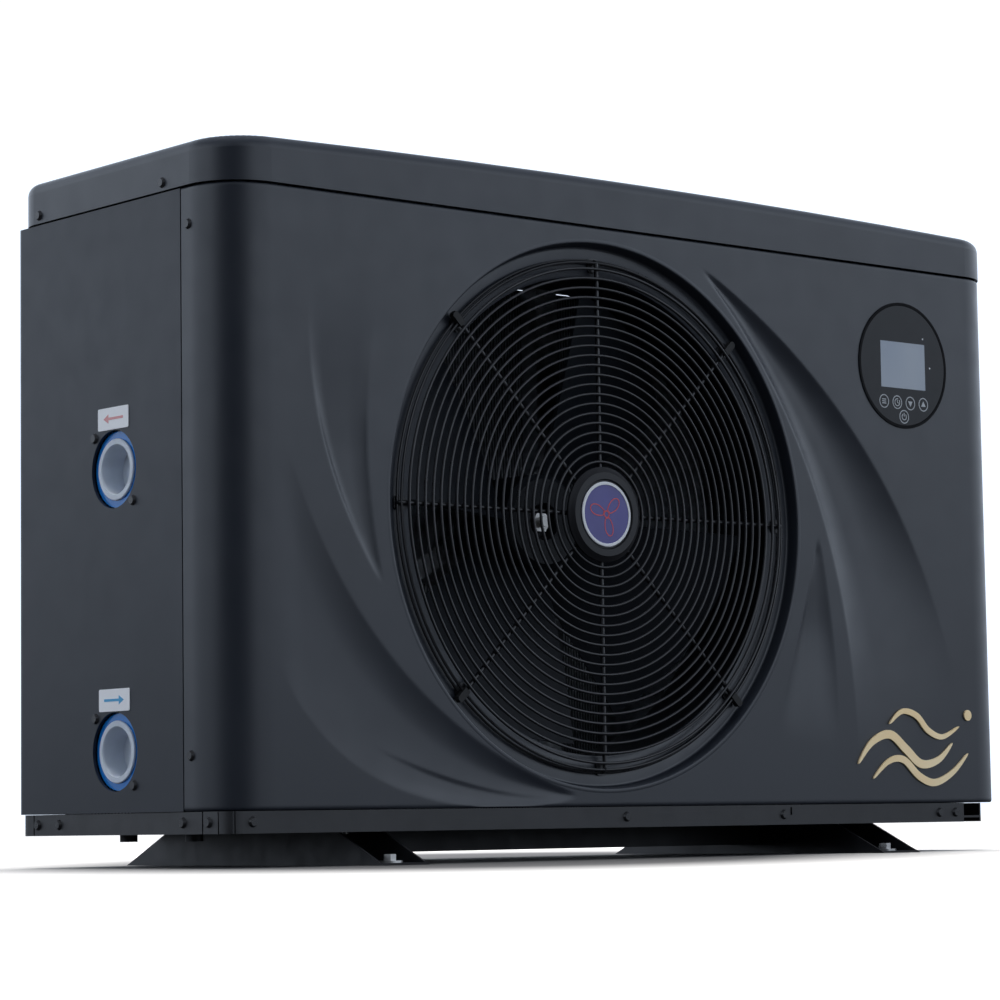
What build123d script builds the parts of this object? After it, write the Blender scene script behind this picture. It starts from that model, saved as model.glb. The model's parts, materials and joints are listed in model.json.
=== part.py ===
"""Swimming-pool heat pump: a plastic-cased outdoor unit with an axial fan and two water ports.

Frame: millimetres, +Z up, the front faces -Y, the water ports face -X.
The origin is on the ground under the middle of the unit.
"""

import os
from math import cos, radians, sin

from build123d import *

os.makedirs("parts", exist_ok=True)

# ---------------------------------------------------------------- driving dimensions (mm)
WIDTH = 947.0  # across the side panels
DEPTH = 316.0  # from the front panel's face to the rear
HX = WIDTH / 2
HY = DEPTH / 2
CORNER_R = 48.0  # vertical corners of the front panel
REAR_R = 9.0  # folded rear corners of the side panels
SKIN = 3.0  # wall of every moulded panel

PAN_LOW = 28.0  # lower edge of the pan's flange
PAN_HIGH = 46.2  # upper edge of the pan's flange
PAN_FLOOR = 32.0  # underside of the pan's floor
SHEET = 2.0  # steel sheet of the pan, feet and frames
FLOOR_TOP = PAN_FLOOR + SHEET
PANEL_LOW = 46.6
PANEL_HIGH = 563.6
LID_LOW = 565.0
LID_EDGE = 603.0  # roof height at the two ends
ROOF_EDGE_R = 11.0
HEIGHT = 610.5  # roof height in the middle
LID_OVERHANG = 1.0
RETURN_Y = -96.9  # rear edge of the front panel's side returns
SEAM = 1.5  # open joint between the front panel and the side panels

FAN_X = -60.0
FAN_Z = 305.6
RECESS_R = 243.3
RECESS_FLOOR_R = 241.5
RECESS_DEPTH = 12.0
THROAT_R = 214.0
FAN_R = 203.0
FAN_HUB_R = 44.0
BLADES = 4
SHAFT_R = 5.0
RUNNING_GAP = 0.05

GUARD_WIRE = 1.3  # radius of a ring's wire
SPOKE_WIRE = 2.0
GUARD_FIRST = 47.3
GUARD_STEP = 8.68
GUARD_RINGS = 21
GUARD_Y = -HY + 2.4
GUARD_HUB_R = 42.5
SPOKES = 8

CONTROL_X = 332.4
CONTROL_Z = 469.1
CONTROL_R = 61.4
LCD_X = 331.7
LCD_Z = 480.6
LCD_W = 62.0
LCD_H = 45.5

PORT_Y = 4.7
PORTS_Z = {"outlet": 337.3, "inlet": 97.9}
PORT_HOLE_R = 33.4
SOCKET_R = 25.0  # takes the customer's 50 mm water pipe
UNION_R = 32.6
EXCHANGER_X = -384.0
EXCHANGER_R = 57.0

FOOT_X = {"left": -314.0, "right": 283.0}
FOOT_W = 49.0
FOOT_LONG = 188.0  # half length on the ground
FOOT_SHORT = 118.0  # half length where it meets the pan
ANCHOR_Y = 146.0
ANCHOR_SLOT = 16.0
ANCHOR_R = 5.0
TOE_BOLT_Y = -165.0
FOOT_BOLT_DX = 16.5
FOOT_BOLT_PITCH = 168.0
FOOT_BOLT_R = 3.0
TOE_BOLT_R = 4.0
WASHER_T = 1.8
HOLE_PLAY = 0.3  # clearance holes are this much larger in radius

COIL_X = (-430.0, 195.0)
COIL_Y = (112.0, 144.0)
COIL_Z = (FLOOR_TOP + 6, 552.0)
DIVIDER_LEFT = -312.0
DIVIDER_RIGHT = 170.0

SCREW_HEAD_R = 4.6
SCREW_HEAD_H = 2.4
SCREW_R = 1.9
SCREW_HOLE_R = 2.2
SCREW_LENGTH = 9.0

COMPRESSOR_X = 318.0
COMPRESSOR_Y = 5.0
COMPRESSOR_R = 66.0

HANDLE_Z = 470.0
COVER_Z = 300.0
COVER_W = 150.0
COVER_H = 190.0
GLAND_Y = 4.0
GLAND_Z = 128.0
GLAND_BORE_R = 6.5


# ---------------------------------------------------------------- planes and small helpers
def front_plane(y):
    """Sketch plane that faces the front; local x is X and local y is Z."""
    return Plane(origin=(0, y, 0), x_dir=(1, 0, 0), z_dir=(0, -1, 0))


def rear_plane(y):
    """Sketch plane that faces the rear; local x is -X and local y is Z."""
    return Plane(origin=(0, y, 0), x_dir=(-1, 0, 0), z_dir=(0, 1, 0))


def left_plane(x):
    """Sketch plane that faces the water-port side; local x is -Y and local y is Z."""
    return Plane(origin=(x, 0, 0), x_dir=(0, -1, 0), z_dir=(-1, 0, 0))


def right_plane(x):
    """Sketch plane that faces the service side; local x is Y and local y is Z."""
    return Plane(origin=(x, 0, 0), x_dir=(0, 1, 0), z_dir=(1, 0, 0))


def seat(x, y, z, facing):
    """Plane under a fastener's head, its normal pointing away from the casing."""
    return Plane(origin=(x, y, z), x_dir=Vector(facing).cross(Vector(0, 0, 1)), z_dir=facing)


def pan_screws(seats):
    """A group of identical pan-head screws."""
    with BuildPart() as group:
        for place in seats:
            with BuildSketch(place):
                Circle(SCREW_HEAD_R)
            extrude(amount=SCREW_HEAD_H, taper=28)
            with BuildSketch(place):
                Circle(SCREW_R)
            extrude(amount=-SCREW_LENGTH)
    return group.part


def cut_screw_holes(seats):
    """Clearance holes for a group of screws, cut in the part being built."""
    for place in seats:
        with BuildSketch(place) as hole:
            Circle(SCREW_HOLE_R)
        extrude(hole.sketch, amount=-14, mode=Mode.SUBTRACT)


def bar(x, y, z, mode=Mode.ADD):
    """A box between two corners given as (low, high) pairs."""
    with Locations(((x[0] + x[1]) / 2, (y[0] + y[1]) / 2, (z[0] + z[1]) / 2)):
        Box(x[1] - x[0], y[1] - y[0], z[1] - z[0], mode=mode)


def spin(points, centre, direction, mode=Mode.ADD):
    """Revolve a closed outline of (radius, height) points about an axis through centre."""
    axis_dir = Vector(direction)
    side = Vector(1, 0, 0) if abs(axis_dir.X) < 0.5 else Vector(0, 0, 1)
    profile_plane = Plane(origin=centre, x_dir=side, z_dir=side.cross(axis_dir))
    with BuildSketch(profile_plane) as profile:
        with BuildLine():
            Polyline(*points, close=True)
        make_face()
    revolve(profile.sketch, axis=Axis(centre, direction), mode=mode)


def pipe(route, radius, bend):
    """A round pipe along straight runs with bends of one radius."""
    with BuildPart() as tube:
        with BuildLine() as path:
            FilletPolyline(*route, radius=bend)
        with BuildSketch(Plane(origin=path.line @ 0, z_dir=path.line % 0)):
            Circle(radius)
        sweep()
    return tube.part


def casing_outline(grow, rear_radius=REAR_R):
    """The plan outline of the casing, grown outwards by a distance."""
    with BuildSketch() as outline:
        Rectangle(WIDTH + 2 * grow, DEPTH + 2 * grow)
        corners = outline.vertices().group_by(Axis.Y)
        fillet(corners[0], CORNER_R + grow)
        corners = outline.vertices().group_by(Axis.Y)
        fillet(corners[-1], rear_radius + grow)
    return outline.sketch


PARTS = {}

# ---------------------------------------------------------------- where the screws go
LID_SCREW_Y = (119.0, -71.0)
LID_SCREW_Z = 572.0
LEFT = (-1, 0, 0)
RIGHT = (1, 0, 0)
FRONT = (0, -1, 0)
REAR = (0, 1, 0)
LID_FACE = HX + LID_OVERHANG
lid_seats = [seat(-LID_FACE, y, LID_SCREW_Z, LEFT) for y in LID_SCREW_Y]
lid_seats += [seat(LID_FACE, y, LID_SCREW_Z, RIGHT) for y in LID_SCREW_Y]

RETURN_SCREWS = ((-107.0, 532.0), (-107.0, 92.0))
return_seats = [seat(-HX, y, z, LEFT) for y, z in RETURN_SCREWS]
return_seats += [seat(HX, y, z, RIGHT) for y, z in RETURN_SCREWS]

PORT_SCREW_OFFSET = 28.6  # along Y and Z, on one diagonal of each port
port_seats = [
    seat(-HX, PORT_Y + side * PORT_SCREW_OFFSET, z + side * PORT_SCREW_OFFSET, LEFT)
    for z in PORTS_Z.values()
    for side in (1, -1)
]

FLANGE_FACE_X = HX - 1.3
FLANGE_FACE_Y = HY - 1.3
FLANGE_SCREW_Z = 37.4
flange_seats = [seat(-FLANGE_FACE_X, y, FLANGE_SCREW_Z, LEFT) for y in (126, 93, -93, -129)]
flange_seats += [seat(FLANGE_FACE_X, y, FLANGE_SCREW_Z, RIGHT) for y in (126, 93, -93)]
FLANGE_SCREW_X = (-448.0, -38.5, 158.0, 370.0, 392.5)
flange_seats += [seat(x, -FLANGE_FACE_Y, FLANGE_SCREW_Z, FRONT) for x in FLANGE_SCREW_X]
flange_seats += [seat(x, FLANGE_FACE_Y, FLANGE_SCREW_Z, REAR) for x in (-420, -120, 120, 320, 440)]

REAR_SCREW_Z = (70.0, 305.0, 540.0)
rear_seats = [seat(x, HY, z, REAR) for x in (-456, -434, 194, 208, 434, 456) for z in REAR_SCREW_Z]
cover_seats = [
    seat(HX - 0.4, y * (COVER_W / 2 - 9), COVER_Z + z * (COVER_H / 2 - 9), RIGHT)
    for y in (-1, 1)
    for z in (-1, 1)
]

# ---------------------------------------------------------------- feet, pan and cross rail
for side, foot_x in FOOT_X.items():
    with BuildPart() as foot:
        with BuildSketch(right_plane(foot_x)):
            with BuildLine():
                Polyline(
                    (-FOOT_LONG, 0),
                    (FOOT_LONG, 0),
                    (FOOT_SHORT, PAN_FLOOR),
                    (-FOOT_SHORT, PAN_FLOOR),
                    close=True,
                )
            make_face()
        extrude(amount=FOOT_W / 2, both=True)
        inner = FOOT_W / 2 - SHEET
        bar((foot_x - inner, foot_x + inner), (-FOOT_LONG, FOOT_LONG), (SHEET, PAN_FLOOR - SHEET),
            Mode.SUBTRACT)
        lip_gap = inner - 12
        bar((foot_x - lip_gap, foot_x + lip_gap), (-FOOT_LONG, FOOT_LONG), (SHEET, PAN_FLOOR),
            Mode.SUBTRACT)
        with BuildSketch(Plane.XY.offset(-1)):
            with Locations((foot_x, ANCHOR_Y), (foot_x, -ANCHOR_Y)):
                SlotOverall(ANCHOR_SLOT, 2 * ANCHOR_R)
            with Locations((foot_x, TOE_BOLT_Y)):
                Circle(TOE_BOLT_R + HOLE_PLAY)
        extrude(amount=SHEET + 2, mode=Mode.SUBTRACT)
        with BuildSketch(Plane.XY.offset(PAN_FLOOR - SHEET - 1)):
            with Locations((foot_x, 0)):
                with GridLocations(2 * FOOT_BOLT_DX, FOOT_BOLT_PITCH, 2, 2):
                    Circle(FOOT_BOLT_R + HOLE_PLAY)
        extrude(amount=SHEET + 2, mode=Mode.SUBTRACT)
    PARTS[side + "_foot"] = foot.part

with BuildPart() as foot_bolts:
    for foot_x in FOOT_X.values():
        with BuildSketch(Plane.XY.offset(FLOOR_TOP)):
            with Locations((foot_x, 0)):
                with GridLocations(2 * FOOT_BOLT_DX, FOOT_BOLT_PITCH, 2, 2):
                    RegularPolygon(5.6, 6)
        extrude(amount=4)
        with BuildSketch(Plane.XY.offset(FLOOR_TOP)):
            with Locations((foot_x, 0)):
                with GridLocations(2 * FOOT_BOLT_DX, FOOT_BOLT_PITCH, 2, 2):
                    Circle(FOOT_BOLT_R)
        extrude(amount=-8)
PARTS["foot_bolts"] = foot_bolts.part

with BuildPart() as toe_washers:
    with BuildSketch(Plane.XY.offset(SHEET)):
        with Locations(*[(foot_x, TOE_BOLT_Y) for foot_x in FOOT_X.values()]):
            Circle(11)
            Circle(TOE_BOLT_R + HOLE_PLAY, mode=Mode.SUBTRACT)
    extrude(amount=WASHER_T)

with BuildPart() as toe_bolts:
    add(toe_washers.part)
    with BuildSketch(Plane.XY.offset(SHEET + WASHER_T)):
        with Locations(*[(foot_x, TOE_BOLT_Y) for foot_x in FOOT_X.values()]):
            RegularPolygon(5.6, 6)
    extrude(amount=5.3)
    with BuildSketch(Plane.XY.offset(0.4)):
        with Locations(*[(foot_x, TOE_BOLT_Y) for foot_x in FOOT_X.values()]):
            Circle(TOE_BOLT_R)
    extrude(amount=SHEET + WASHER_T)
PARTS["toe_bolts"] = toe_bolts.part

DRAINS = ((-440.0, 34.0), (-440.0, -63.0))
DRAIN_R = 7.5
NOTCH_X = 404.4
NOTCH_Y = -118.0
with BuildPart() as base_pan:
    with BuildSketch(Plane.XY.offset(PAN_LOW)):
        RectangleRounded(2 * FLANGE_FACE_X, 2 * FLANGE_FACE_Y, 14)
        RectangleRounded(2 * (FLANGE_FACE_X - SHEET), 2 * (FLANGE_FACE_Y - SHEET), 12,
                         mode=Mode.SUBTRACT)
    extrude(amount=PAN_HIGH - PAN_LOW)
    with BuildSketch(Plane.XY.offset(PAN_FLOOR)):
        RectangleRounded(2 * FLANGE_FACE_X - SHEET, 2 * FLANGE_FACE_Y - SHEET, 13)
    extrude(amount=SHEET)
    # open joints where the flange strips meet
    flange_z = (PAN_LOW - 1, PAN_HIGH + 1)
    gap_x = -465.4
    bar((gap_x - 1.2, gap_x + 1.2), (-HY - 1, -FLANGE_FACE_Y + SHEET + 0.5), flange_z, Mode.SUBTRACT)
    # the right front corner is open below the panels
    bar((NOTCH_X, HX + 1), (-HY - 1, NOTCH_Y), flange_z, Mode.SUBTRACT)
    bar((166.4, 168.6), (-HY - 1, -FLANGE_FACE_Y + SHEET + 0.5), (37, 44), Mode.SUBTRACT)
    for end in (-1, 1):
        wall = sorted((end * (HX + 1), end * (FLANGE_FACE_X - SHEET - 0.5)))
        for gap_y in (-120.5, -142.5, 132.5):
            bar(wall, (gap_y - 0.8, gap_y + 0.8), flange_z, Mode.SUBTRACT)
    with BuildSketch(Plane.XY.offset(PAN_FLOOR - 1)):
        with Locations(*DRAINS):
            Circle(DRAIN_R - 2)
        for foot_x in FOOT_X.values():
            with Locations((foot_x, 0)):
                with GridLocations(2 * FOOT_BOLT_DX, FOOT_BOLT_PITCH, 2, 2):
                    Circle(FOOT_BOLT_R + HOLE_PLAY)
    extrude(amount=SHEET + 2, mode=Mode.SUBTRACT)
    cut_screw_holes(flange_seats)
PARTS["base_pan"] = base_pan.part

with BuildPart() as drain_nozzles:
    with BuildSketch(Plane.XY.offset(PAN_FLOOR)):
        with Locations(*DRAINS):
            Circle(DRAIN_R)
            Circle(DRAIN_R - 2, mode=Mode.SUBTRACT)
    extrude(amount=-10)
PARTS["drain_nozzles"] = drain_nozzles.part

RAIL_LOW = 9.0
with BuildPart() as cross_rail:
    rail_x = (FOOT_X["left"] + FOOT_W / 2 + 0.3, FOOT_X["right"] - FOOT_W / 2 - 0.3)
    bar(rail_x, (-22, 22), (RAIL_LOW, PAN_FLOOR))
    bar(rail_x, (-20, 20), (RAIL_LOW + SHEET, PAN_FLOOR), Mode.SUBTRACT)
    bar(rail_x, (-34, -20), (PAN_FLOOR - SHEET, PAN_FLOOR))
    bar(rail_x, (20, 34), (PAN_FLOOR - SHEET, PAN_FLOOR))
PARTS["cross_rail"] = cross_rail.part

# ---------------------------------------------------------------- lid
CROWN = HEIGHT - LID_EDGE


def lid_form(inset):
    """The lid as a solid block with its crowned roof, every face moved inwards."""
    with BuildPart() as form:
        with BuildSketch(Plane.XY.offset(LID_LOW)):
            add(casing_outline(LID_OVERHANG - inset, rear_radius=30))
        extrude(amount=HEIGHT - LID_LOW)
        with BuildSketch(front_plane(HY + 5)) as side_view:
            with BuildLine():
                left_end = (-HX - 5, LID_EDGE - inset)
                right_end = (HX + 5, LID_EDGE - inset)
                ThreePointArc(left_end, (0, HEIGHT - inset), right_end)
                Polyline(right_end, (HX + 5, LID_LOW), (-HX - 5, LID_LOW), left_end)
            make_face()
        extrude(amount=DEPTH + 10, mode=Mode.INTERSECT)
        fillet(form.faces().sort_by(Axis.Z)[-1].edges(), ROOF_EDGE_R - inset)
    return form.part


lid_inside = lid_form(SKIN)
with BuildPart() as lid:
    add(lid_form(0))
    add(lid_inside, mode=Mode.SUBTRACT)
    cut_screw_holes(lid_seats)
PARTS["lid"] = lid.part

# ---------------------------------------------------------------- front panel
FAN_AXIS = Axis((FAN_X, 0, FAN_Z), (0, 1, 0))
RECESS_Y = -HY + RECESS_DEPTH
SCOOP_DEPTH = 1.4  # of the moulded hollows beside the fan
FAN_CENTRE = (FAN_X, 0, FAN_Z)


def crescent(tip, middle_out, end, middle_in):
    """A leaf-shaped area between two arcs that share both ends."""
    with BuildLine() as edge:
        ThreePointArc(tip, middle_out, end)
        ThreePointArc(end, middle_in, tip)
    make_face(edge.line.edges())


with BuildPart() as front_panel:
    with BuildSketch(Plane.XY.offset(PANEL_LOW)):
        add(casing_outline(0))
        add(casing_outline(-SKIN), mode=Mode.SUBTRACT)
        with Locations((0, (RETURN_Y + HY) / 2 + 1)):
            Rectangle(WIDTH + 10, HY - RETURN_Y + 2, mode=Mode.SUBTRACT)
    extrude(amount=PANEL_HIGH - PANEL_LOW)
    with BuildSketch(front_plane(-HY)):
        crescent((56, 539), (205, 330), (262, 130), (295, 330))
        crescent((214, 300), (196, 215), (148, 140), (222, 215))
        crescent((-384, 452), (-366, 330), (-307, 226), (-330, 330))
        crescent((-430, 410), (-345, 215), (-90, 55), (-395, 190))
    extrude(amount=-SCOOP_DEPTH, mode=Mode.SUBTRACT)
    with BuildSketch(front_plane(-HY - 4)):
        with Locations((FAN_X, FAN_Z)):
            Circle(RECESS_R)
        with Locations((CONTROL_X, CONTROL_Z)):
            Circle(CONTROL_R - 2)
    extrude(amount=-8, mode=Mode.SUBTRACT)
    spin(
        [
            (RECESS_R, -HY),
            (RECESS_R + 7, -HY),
            (RECESS_R + 7, -HY + SKIN),
            (RECESS_R + 3, -HY + SKIN),
            (RECESS_FLOOR_R + 3, RECESS_Y + SKIN),
            (THROAT_R, RECESS_Y + SKIN),
            (THROAT_R, RECESS_Y),
            (RECESS_FLOOR_R, RECESS_Y),
        ],
        FAN_CENTRE,
        (0, 1, 0),
    )
    # lip that drops behind the pan's flange
    bar((-420, 400), (-HY + SKIN, -HY + SKIN + 1.0), (PANEL_LOW, PANEL_LOW + 12))
    bar((-420, 400), (-FLANGE_FACE_Y + SHEET + 0.3, -FLANGE_FACE_Y + 2 * SHEET + 0.3),
        (FLOOR_TOP + 0.5, PANEL_LOW + 12))
    cut_screw_holes(return_seats)
    cut_screw_holes([seat(x, -FLANGE_FACE_Y, FLANGE_SCREW_Z, FRONT) for x in FLANGE_SCREW_X])
PARTS["front_panel"] = front_panel.part

# ---------------------------------------------------------------- side panels
SIDE_FRONT = RETURN_Y + SEAM
REAR_RETURN = 33.0


def side_profile(end):
    """Plan outline of a side panel: a flat wall folded round the rear corner."""
    with BuildSketch() as profile:
        add(casing_outline(0))
        add(casing_outline(-SKIN), mode=Mode.SUBTRACT)
        low_y = -HY - 1
        with Locations((0, (low_y + SIDE_FRONT) / 2)):
            Rectangle(WIDTH + 10, SIDE_FRONT - low_y, mode=Mode.SUBTRACT)
        with Locations((-end * (REAR_RETURN + 5) / 2, 0)):
            Rectangle(WIDTH - REAR_RETURN + 5, DEPTH + 10, mode=Mode.SUBTRACT)
    return profile.sketch


with BuildPart() as left_panel:
    with BuildSketch(Plane.XY.offset(PANEL_LOW)):
        add(side_profile(-1))
    extrude(amount=PANEL_HIGH - PANEL_LOW)
    with BuildSketch(left_plane(-HX - 1)):
        with Locations(*[(-PORT_Y, z) for z in PORTS_Z.values()]):
            Circle(PORT_HOLE_R)
    extrude(amount=-SKIN - 2, mode=Mode.SUBTRACT)
    cut_screw_holes(port_seats)
    cut_screw_holes([seat(-456, HY, z, REAR) for z in REAR_SCREW_Z])
PARTS["left_panel"] = left_panel.part


def pocket(y, z, width, height, depth):
    """A moulded pocket let into the service side's wall."""
    wall = 2.5
    inner = HX - depth
    bar((inner - wall, HX - SKIN / 2), (y - width / 2 - wall, y + width / 2 + wall),
        (z - height / 2 - wall, z + height / 2 + wall))
    bar((inner, HX + 1), (y - width / 2, y + width / 2), (z - height / 2, z + height / 2), Mode.SUBTRACT)


with BuildPart() as right_panel:
    with BuildSketch(Plane.XY.offset(PANEL_LOW)):
        add(side_profile(1))
    extrude(amount=PANEL_HIGH - PANEL_LOW)
    pocket(GLAND_Y, HANDLE_Z, 128, 40, 24)
    pocket(GLAND_Y, GLAND_Z, 70, 70, 26)
    # rebate that seats the service cover
    bar((HX - SKIN - 2.4, HX - SKIN + 0.5), (-COVER_W / 2 - 12, COVER_W / 2 + 12),
        (COVER_Z - COVER_H / 2 - 12, COVER_Z + COVER_H / 2 + 12))
    with BuildSketch(right_plane(HX + 1)):
        with Locations((0, COVER_Z)):
            RectangleRounded(COVER_W, COVER_H, 8)
    extrude(amount=-SKIN - 1, mode=Mode.SUBTRACT)
    with BuildSketch(right_plane(HX)):
        with Locations((0, COVER_Z)):
            Rectangle(COVER_W - 40, COVER_H - 40)
        with Locations((GLAND_Y, GLAND_Z)):
            Circle(10.2)
    extrude(amount=-40, mode=Mode.SUBTRACT)
    cut_screw_holes(cover_seats)
    cut_screw_holes([seat(456, HY, z, REAR) for z in REAR_SCREW_Z])
PARTS["right_panel"] = right_panel.part

with BuildPart() as service_cover:
    with BuildSketch(right_plane(HX - SKIN + 0.1)):
        with Locations((0, COVER_Z)):
            RectangleRounded(COVER_W - 1, COVER_H - 1, 7.5)
    extrude(amount=SKIN - 0.5)
    cut_screw_holes(cover_seats)
PARTS["service_cover"] = service_cover.part

GLAND_FLOOR = HX - 26.0
with BuildPart() as cable_gland:
    spin(
        [
            (GLAND_BORE_R, -14),
            (9.8, -14),
            (9.8, 0),
            (15.5, 0),
            (15.5, 5),
            (13.5, 6),
            (13.5, 17),
            (11, 20),
            (GLAND_BORE_R, 20),
        ],
        (GLAND_FLOOR, GLAND_Y, GLAND_Z),
        (1, 0, 0),
    )
    with BuildSketch(right_plane(GLAND_FLOOR - 2.6)):
        with Locations((GLAND_Y, GLAND_Z)):
            RegularPolygon(15.5, 6)
            Circle(9.85, mode=Mode.SUBTRACT)
    extrude(amount=-5)
PARTS["cable_gland"] = cable_gland.part

# ---------------------------------------------------------------- rear grille and rear panel
GRILLE_X = (-438.5, 200.0)
GRILLE_SHEET = 3.0
with BuildPart() as rear_grille:
    width = GRILLE_X[1] - GRILLE_X[0] - 0.6
    centre_x = (GRILLE_X[0] + GRILLE_X[1]) / 2
    height = PANEL_HIGH - PANEL_LOW
    centre_z = (PANEL_HIGH + PANEL_LOW) / 2
    with BuildSketch(rear_plane(HY - GRILLE_SHEET)):
        with Locations((-centre_x, centre_z)):
            Rectangle(width, height)
            with GridLocations(30.4, 30.4, 20, 16):
                RectangleRounded(26.6, 26.6, 3, mode=Mode.SUBTRACT)
    extrude(amount=GRILLE_SHEET)
    cut_screw_holes([seat(x, HY, z, REAR) for x in (-434, 194) for z in REAR_SCREW_Z])
PARTS["rear_grille"] = rear_grille.part

with BuildPart() as rear_panel:
    bar((GRILLE_X[1] + 0.6, HX - REAR_RETURN - 0.6), (HY - GRILLE_SHEET, HY), (PANEL_LOW, PANEL_HIGH))
    for z in range(110, 260, 16):
        bar((250, 390), (HY - GRILLE_SHEET - 1, HY + 1), (z, z + 7), Mode.SUBTRACT)
    cut_screw_holes([seat(x, HY, z, REAR) for x in (208, 434) for z in REAR_SCREW_Z])
PARTS["rear_panel"] = rear_panel.part
PARTS["casing_screws"] = pan_screws(
    lid_seats + return_seats + port_seats + flange_seats + rear_seats + cover_seats
)

with BuildPart() as rear_posts:
    for end in (-1, 1):
        corner_x = end * (HX - SKIN - 6)
        arm_x = end * (HX - SKIN - 46)
        post_z = (PAN_HIGH + 1, PANEL_HIGH - 4)
        bar(sorted((corner_x, arm_x)), (HY - SKIN - 2.4, HY - SKIN - 0.4), post_z)
        bar(sorted((corner_x, corner_x - end * SHEET)), (HY - SKIN - 30, HY - SKIN - 0.4), post_z)
        cut_screw_holes([seat(end * x, HY, z, REAR) for x in (434, 456) for z in REAR_SCREW_Z])
PARTS["rear_posts"] = rear_posts.part

# ---------------------------------------------------------------- fan guard
RING_RADII = [GUARD_FIRST + GUARD_STEP * i for i in range(GUARD_RINGS)]
SPOKE_Y = GUARD_Y + GUARD_WIRE + SPOKE_WIRE - 0.5
TAB_Y = RECESS_Y - 1.6
SPOKE_END_R = 228.5
with BuildPart() as guard_rings:
    for radius in RING_RADII:
        with Locations(Location(FAN_CENTRE, (90, 0, 0))):
            with Locations((0, 0, -GUARD_Y)):
                Torus(radius, GUARD_WIRE)
PARTS["fan_guard_rings"] = guard_rings.part

with BuildPart() as guard_spokes:
    for k in range(SPOKES):
        angle = radians(k * 360 / SPOKES)
        out = Vector(cos(angle), 0, sin(angle))
        start = Vector(FAN_X, SPOKE_Y + 0.6, FAN_Z) + out * 34
        elbow = Vector(FAN_X, SPOKE_Y + 0.6, FAN_Z) + out * SPOKE_END_R
        end_point = Vector(FAN_X, TAB_Y - 0.4, FAN_Z) + out * SPOKE_END_R
        with BuildLine() as spoke_path:
            FilletPolyline(start, elbow, end_point, radius=4)
        with BuildSketch(Plane(origin=start, z_dir=out)):
            Circle(SPOKE_WIRE)
        sweep(path=spoke_path.line)
        across = Vector(-sin(angle), 0, cos(angle))
        with BuildSketch(Plane(origin=Vector(FAN_X, RECESS_Y - 0.2, FAN_Z) + out * 225, x_dir=across,
                               z_dir=(0, -1, 0))):
            RectangleRounded(12, 13, 3)
        extrude(amount=1.8)
PARTS["fan_guard_spokes"] = guard_spokes.part

with BuildPart() as guard_hub:
    spin(
        [
            (0, -HY - 1.4),
            (30.5, -HY - 1.4),
            (31.5, -HY - 3.0),
            (37.5, -HY - 3.0),
            (40.5, -HY - 0.6),
            (GUARD_HUB_R, -HY + 0.8),
            (GUARD_HUB_R, -HY + 2.6),
            (0, -HY + 2.6),
        ],
        FAN_CENTRE,
        (0, 1, 0),
    )
PARTS["fan_guard_hub"] = guard_hub.part

with BuildPart() as hub_badge:
    with BuildSketch(front_plane(-HY - 1.4)):
        with Locations((FAN_X, FAN_Z)):
            Circle(29)
    extrude(amount=1.0)
PARTS["hub_badge"] = hub_badge.part

# ---------------------------------------------------------------- fan, motor and shroud
with BuildPart() as fan_shroud:
    spin(
        [
            (THROAT_R, RECESS_Y + SKIN + 0.3),
            (RECESS_FLOOR_R + 2, RECESS_Y + SKIN + 0.3),
            (RECESS_FLOOR_R + 2, RECESS_Y + SKIN + 2.3),
            (THROAT_R + 5, RECESS_Y + SKIN + 2.3),
            (THROAT_R + 2.4, RECESS_Y + SKIN + 8),
            (THROAT_R + 2.4, -72),
            (THROAT_R + 8, -62),
            (THROAT_R + 6, -61),
            (THROAT_R, -73),
        ],
        FAN_CENTRE,
        (0, 1, 0),
    )
PARTS["fan_shroud"] = fan_shroud.part

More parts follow.
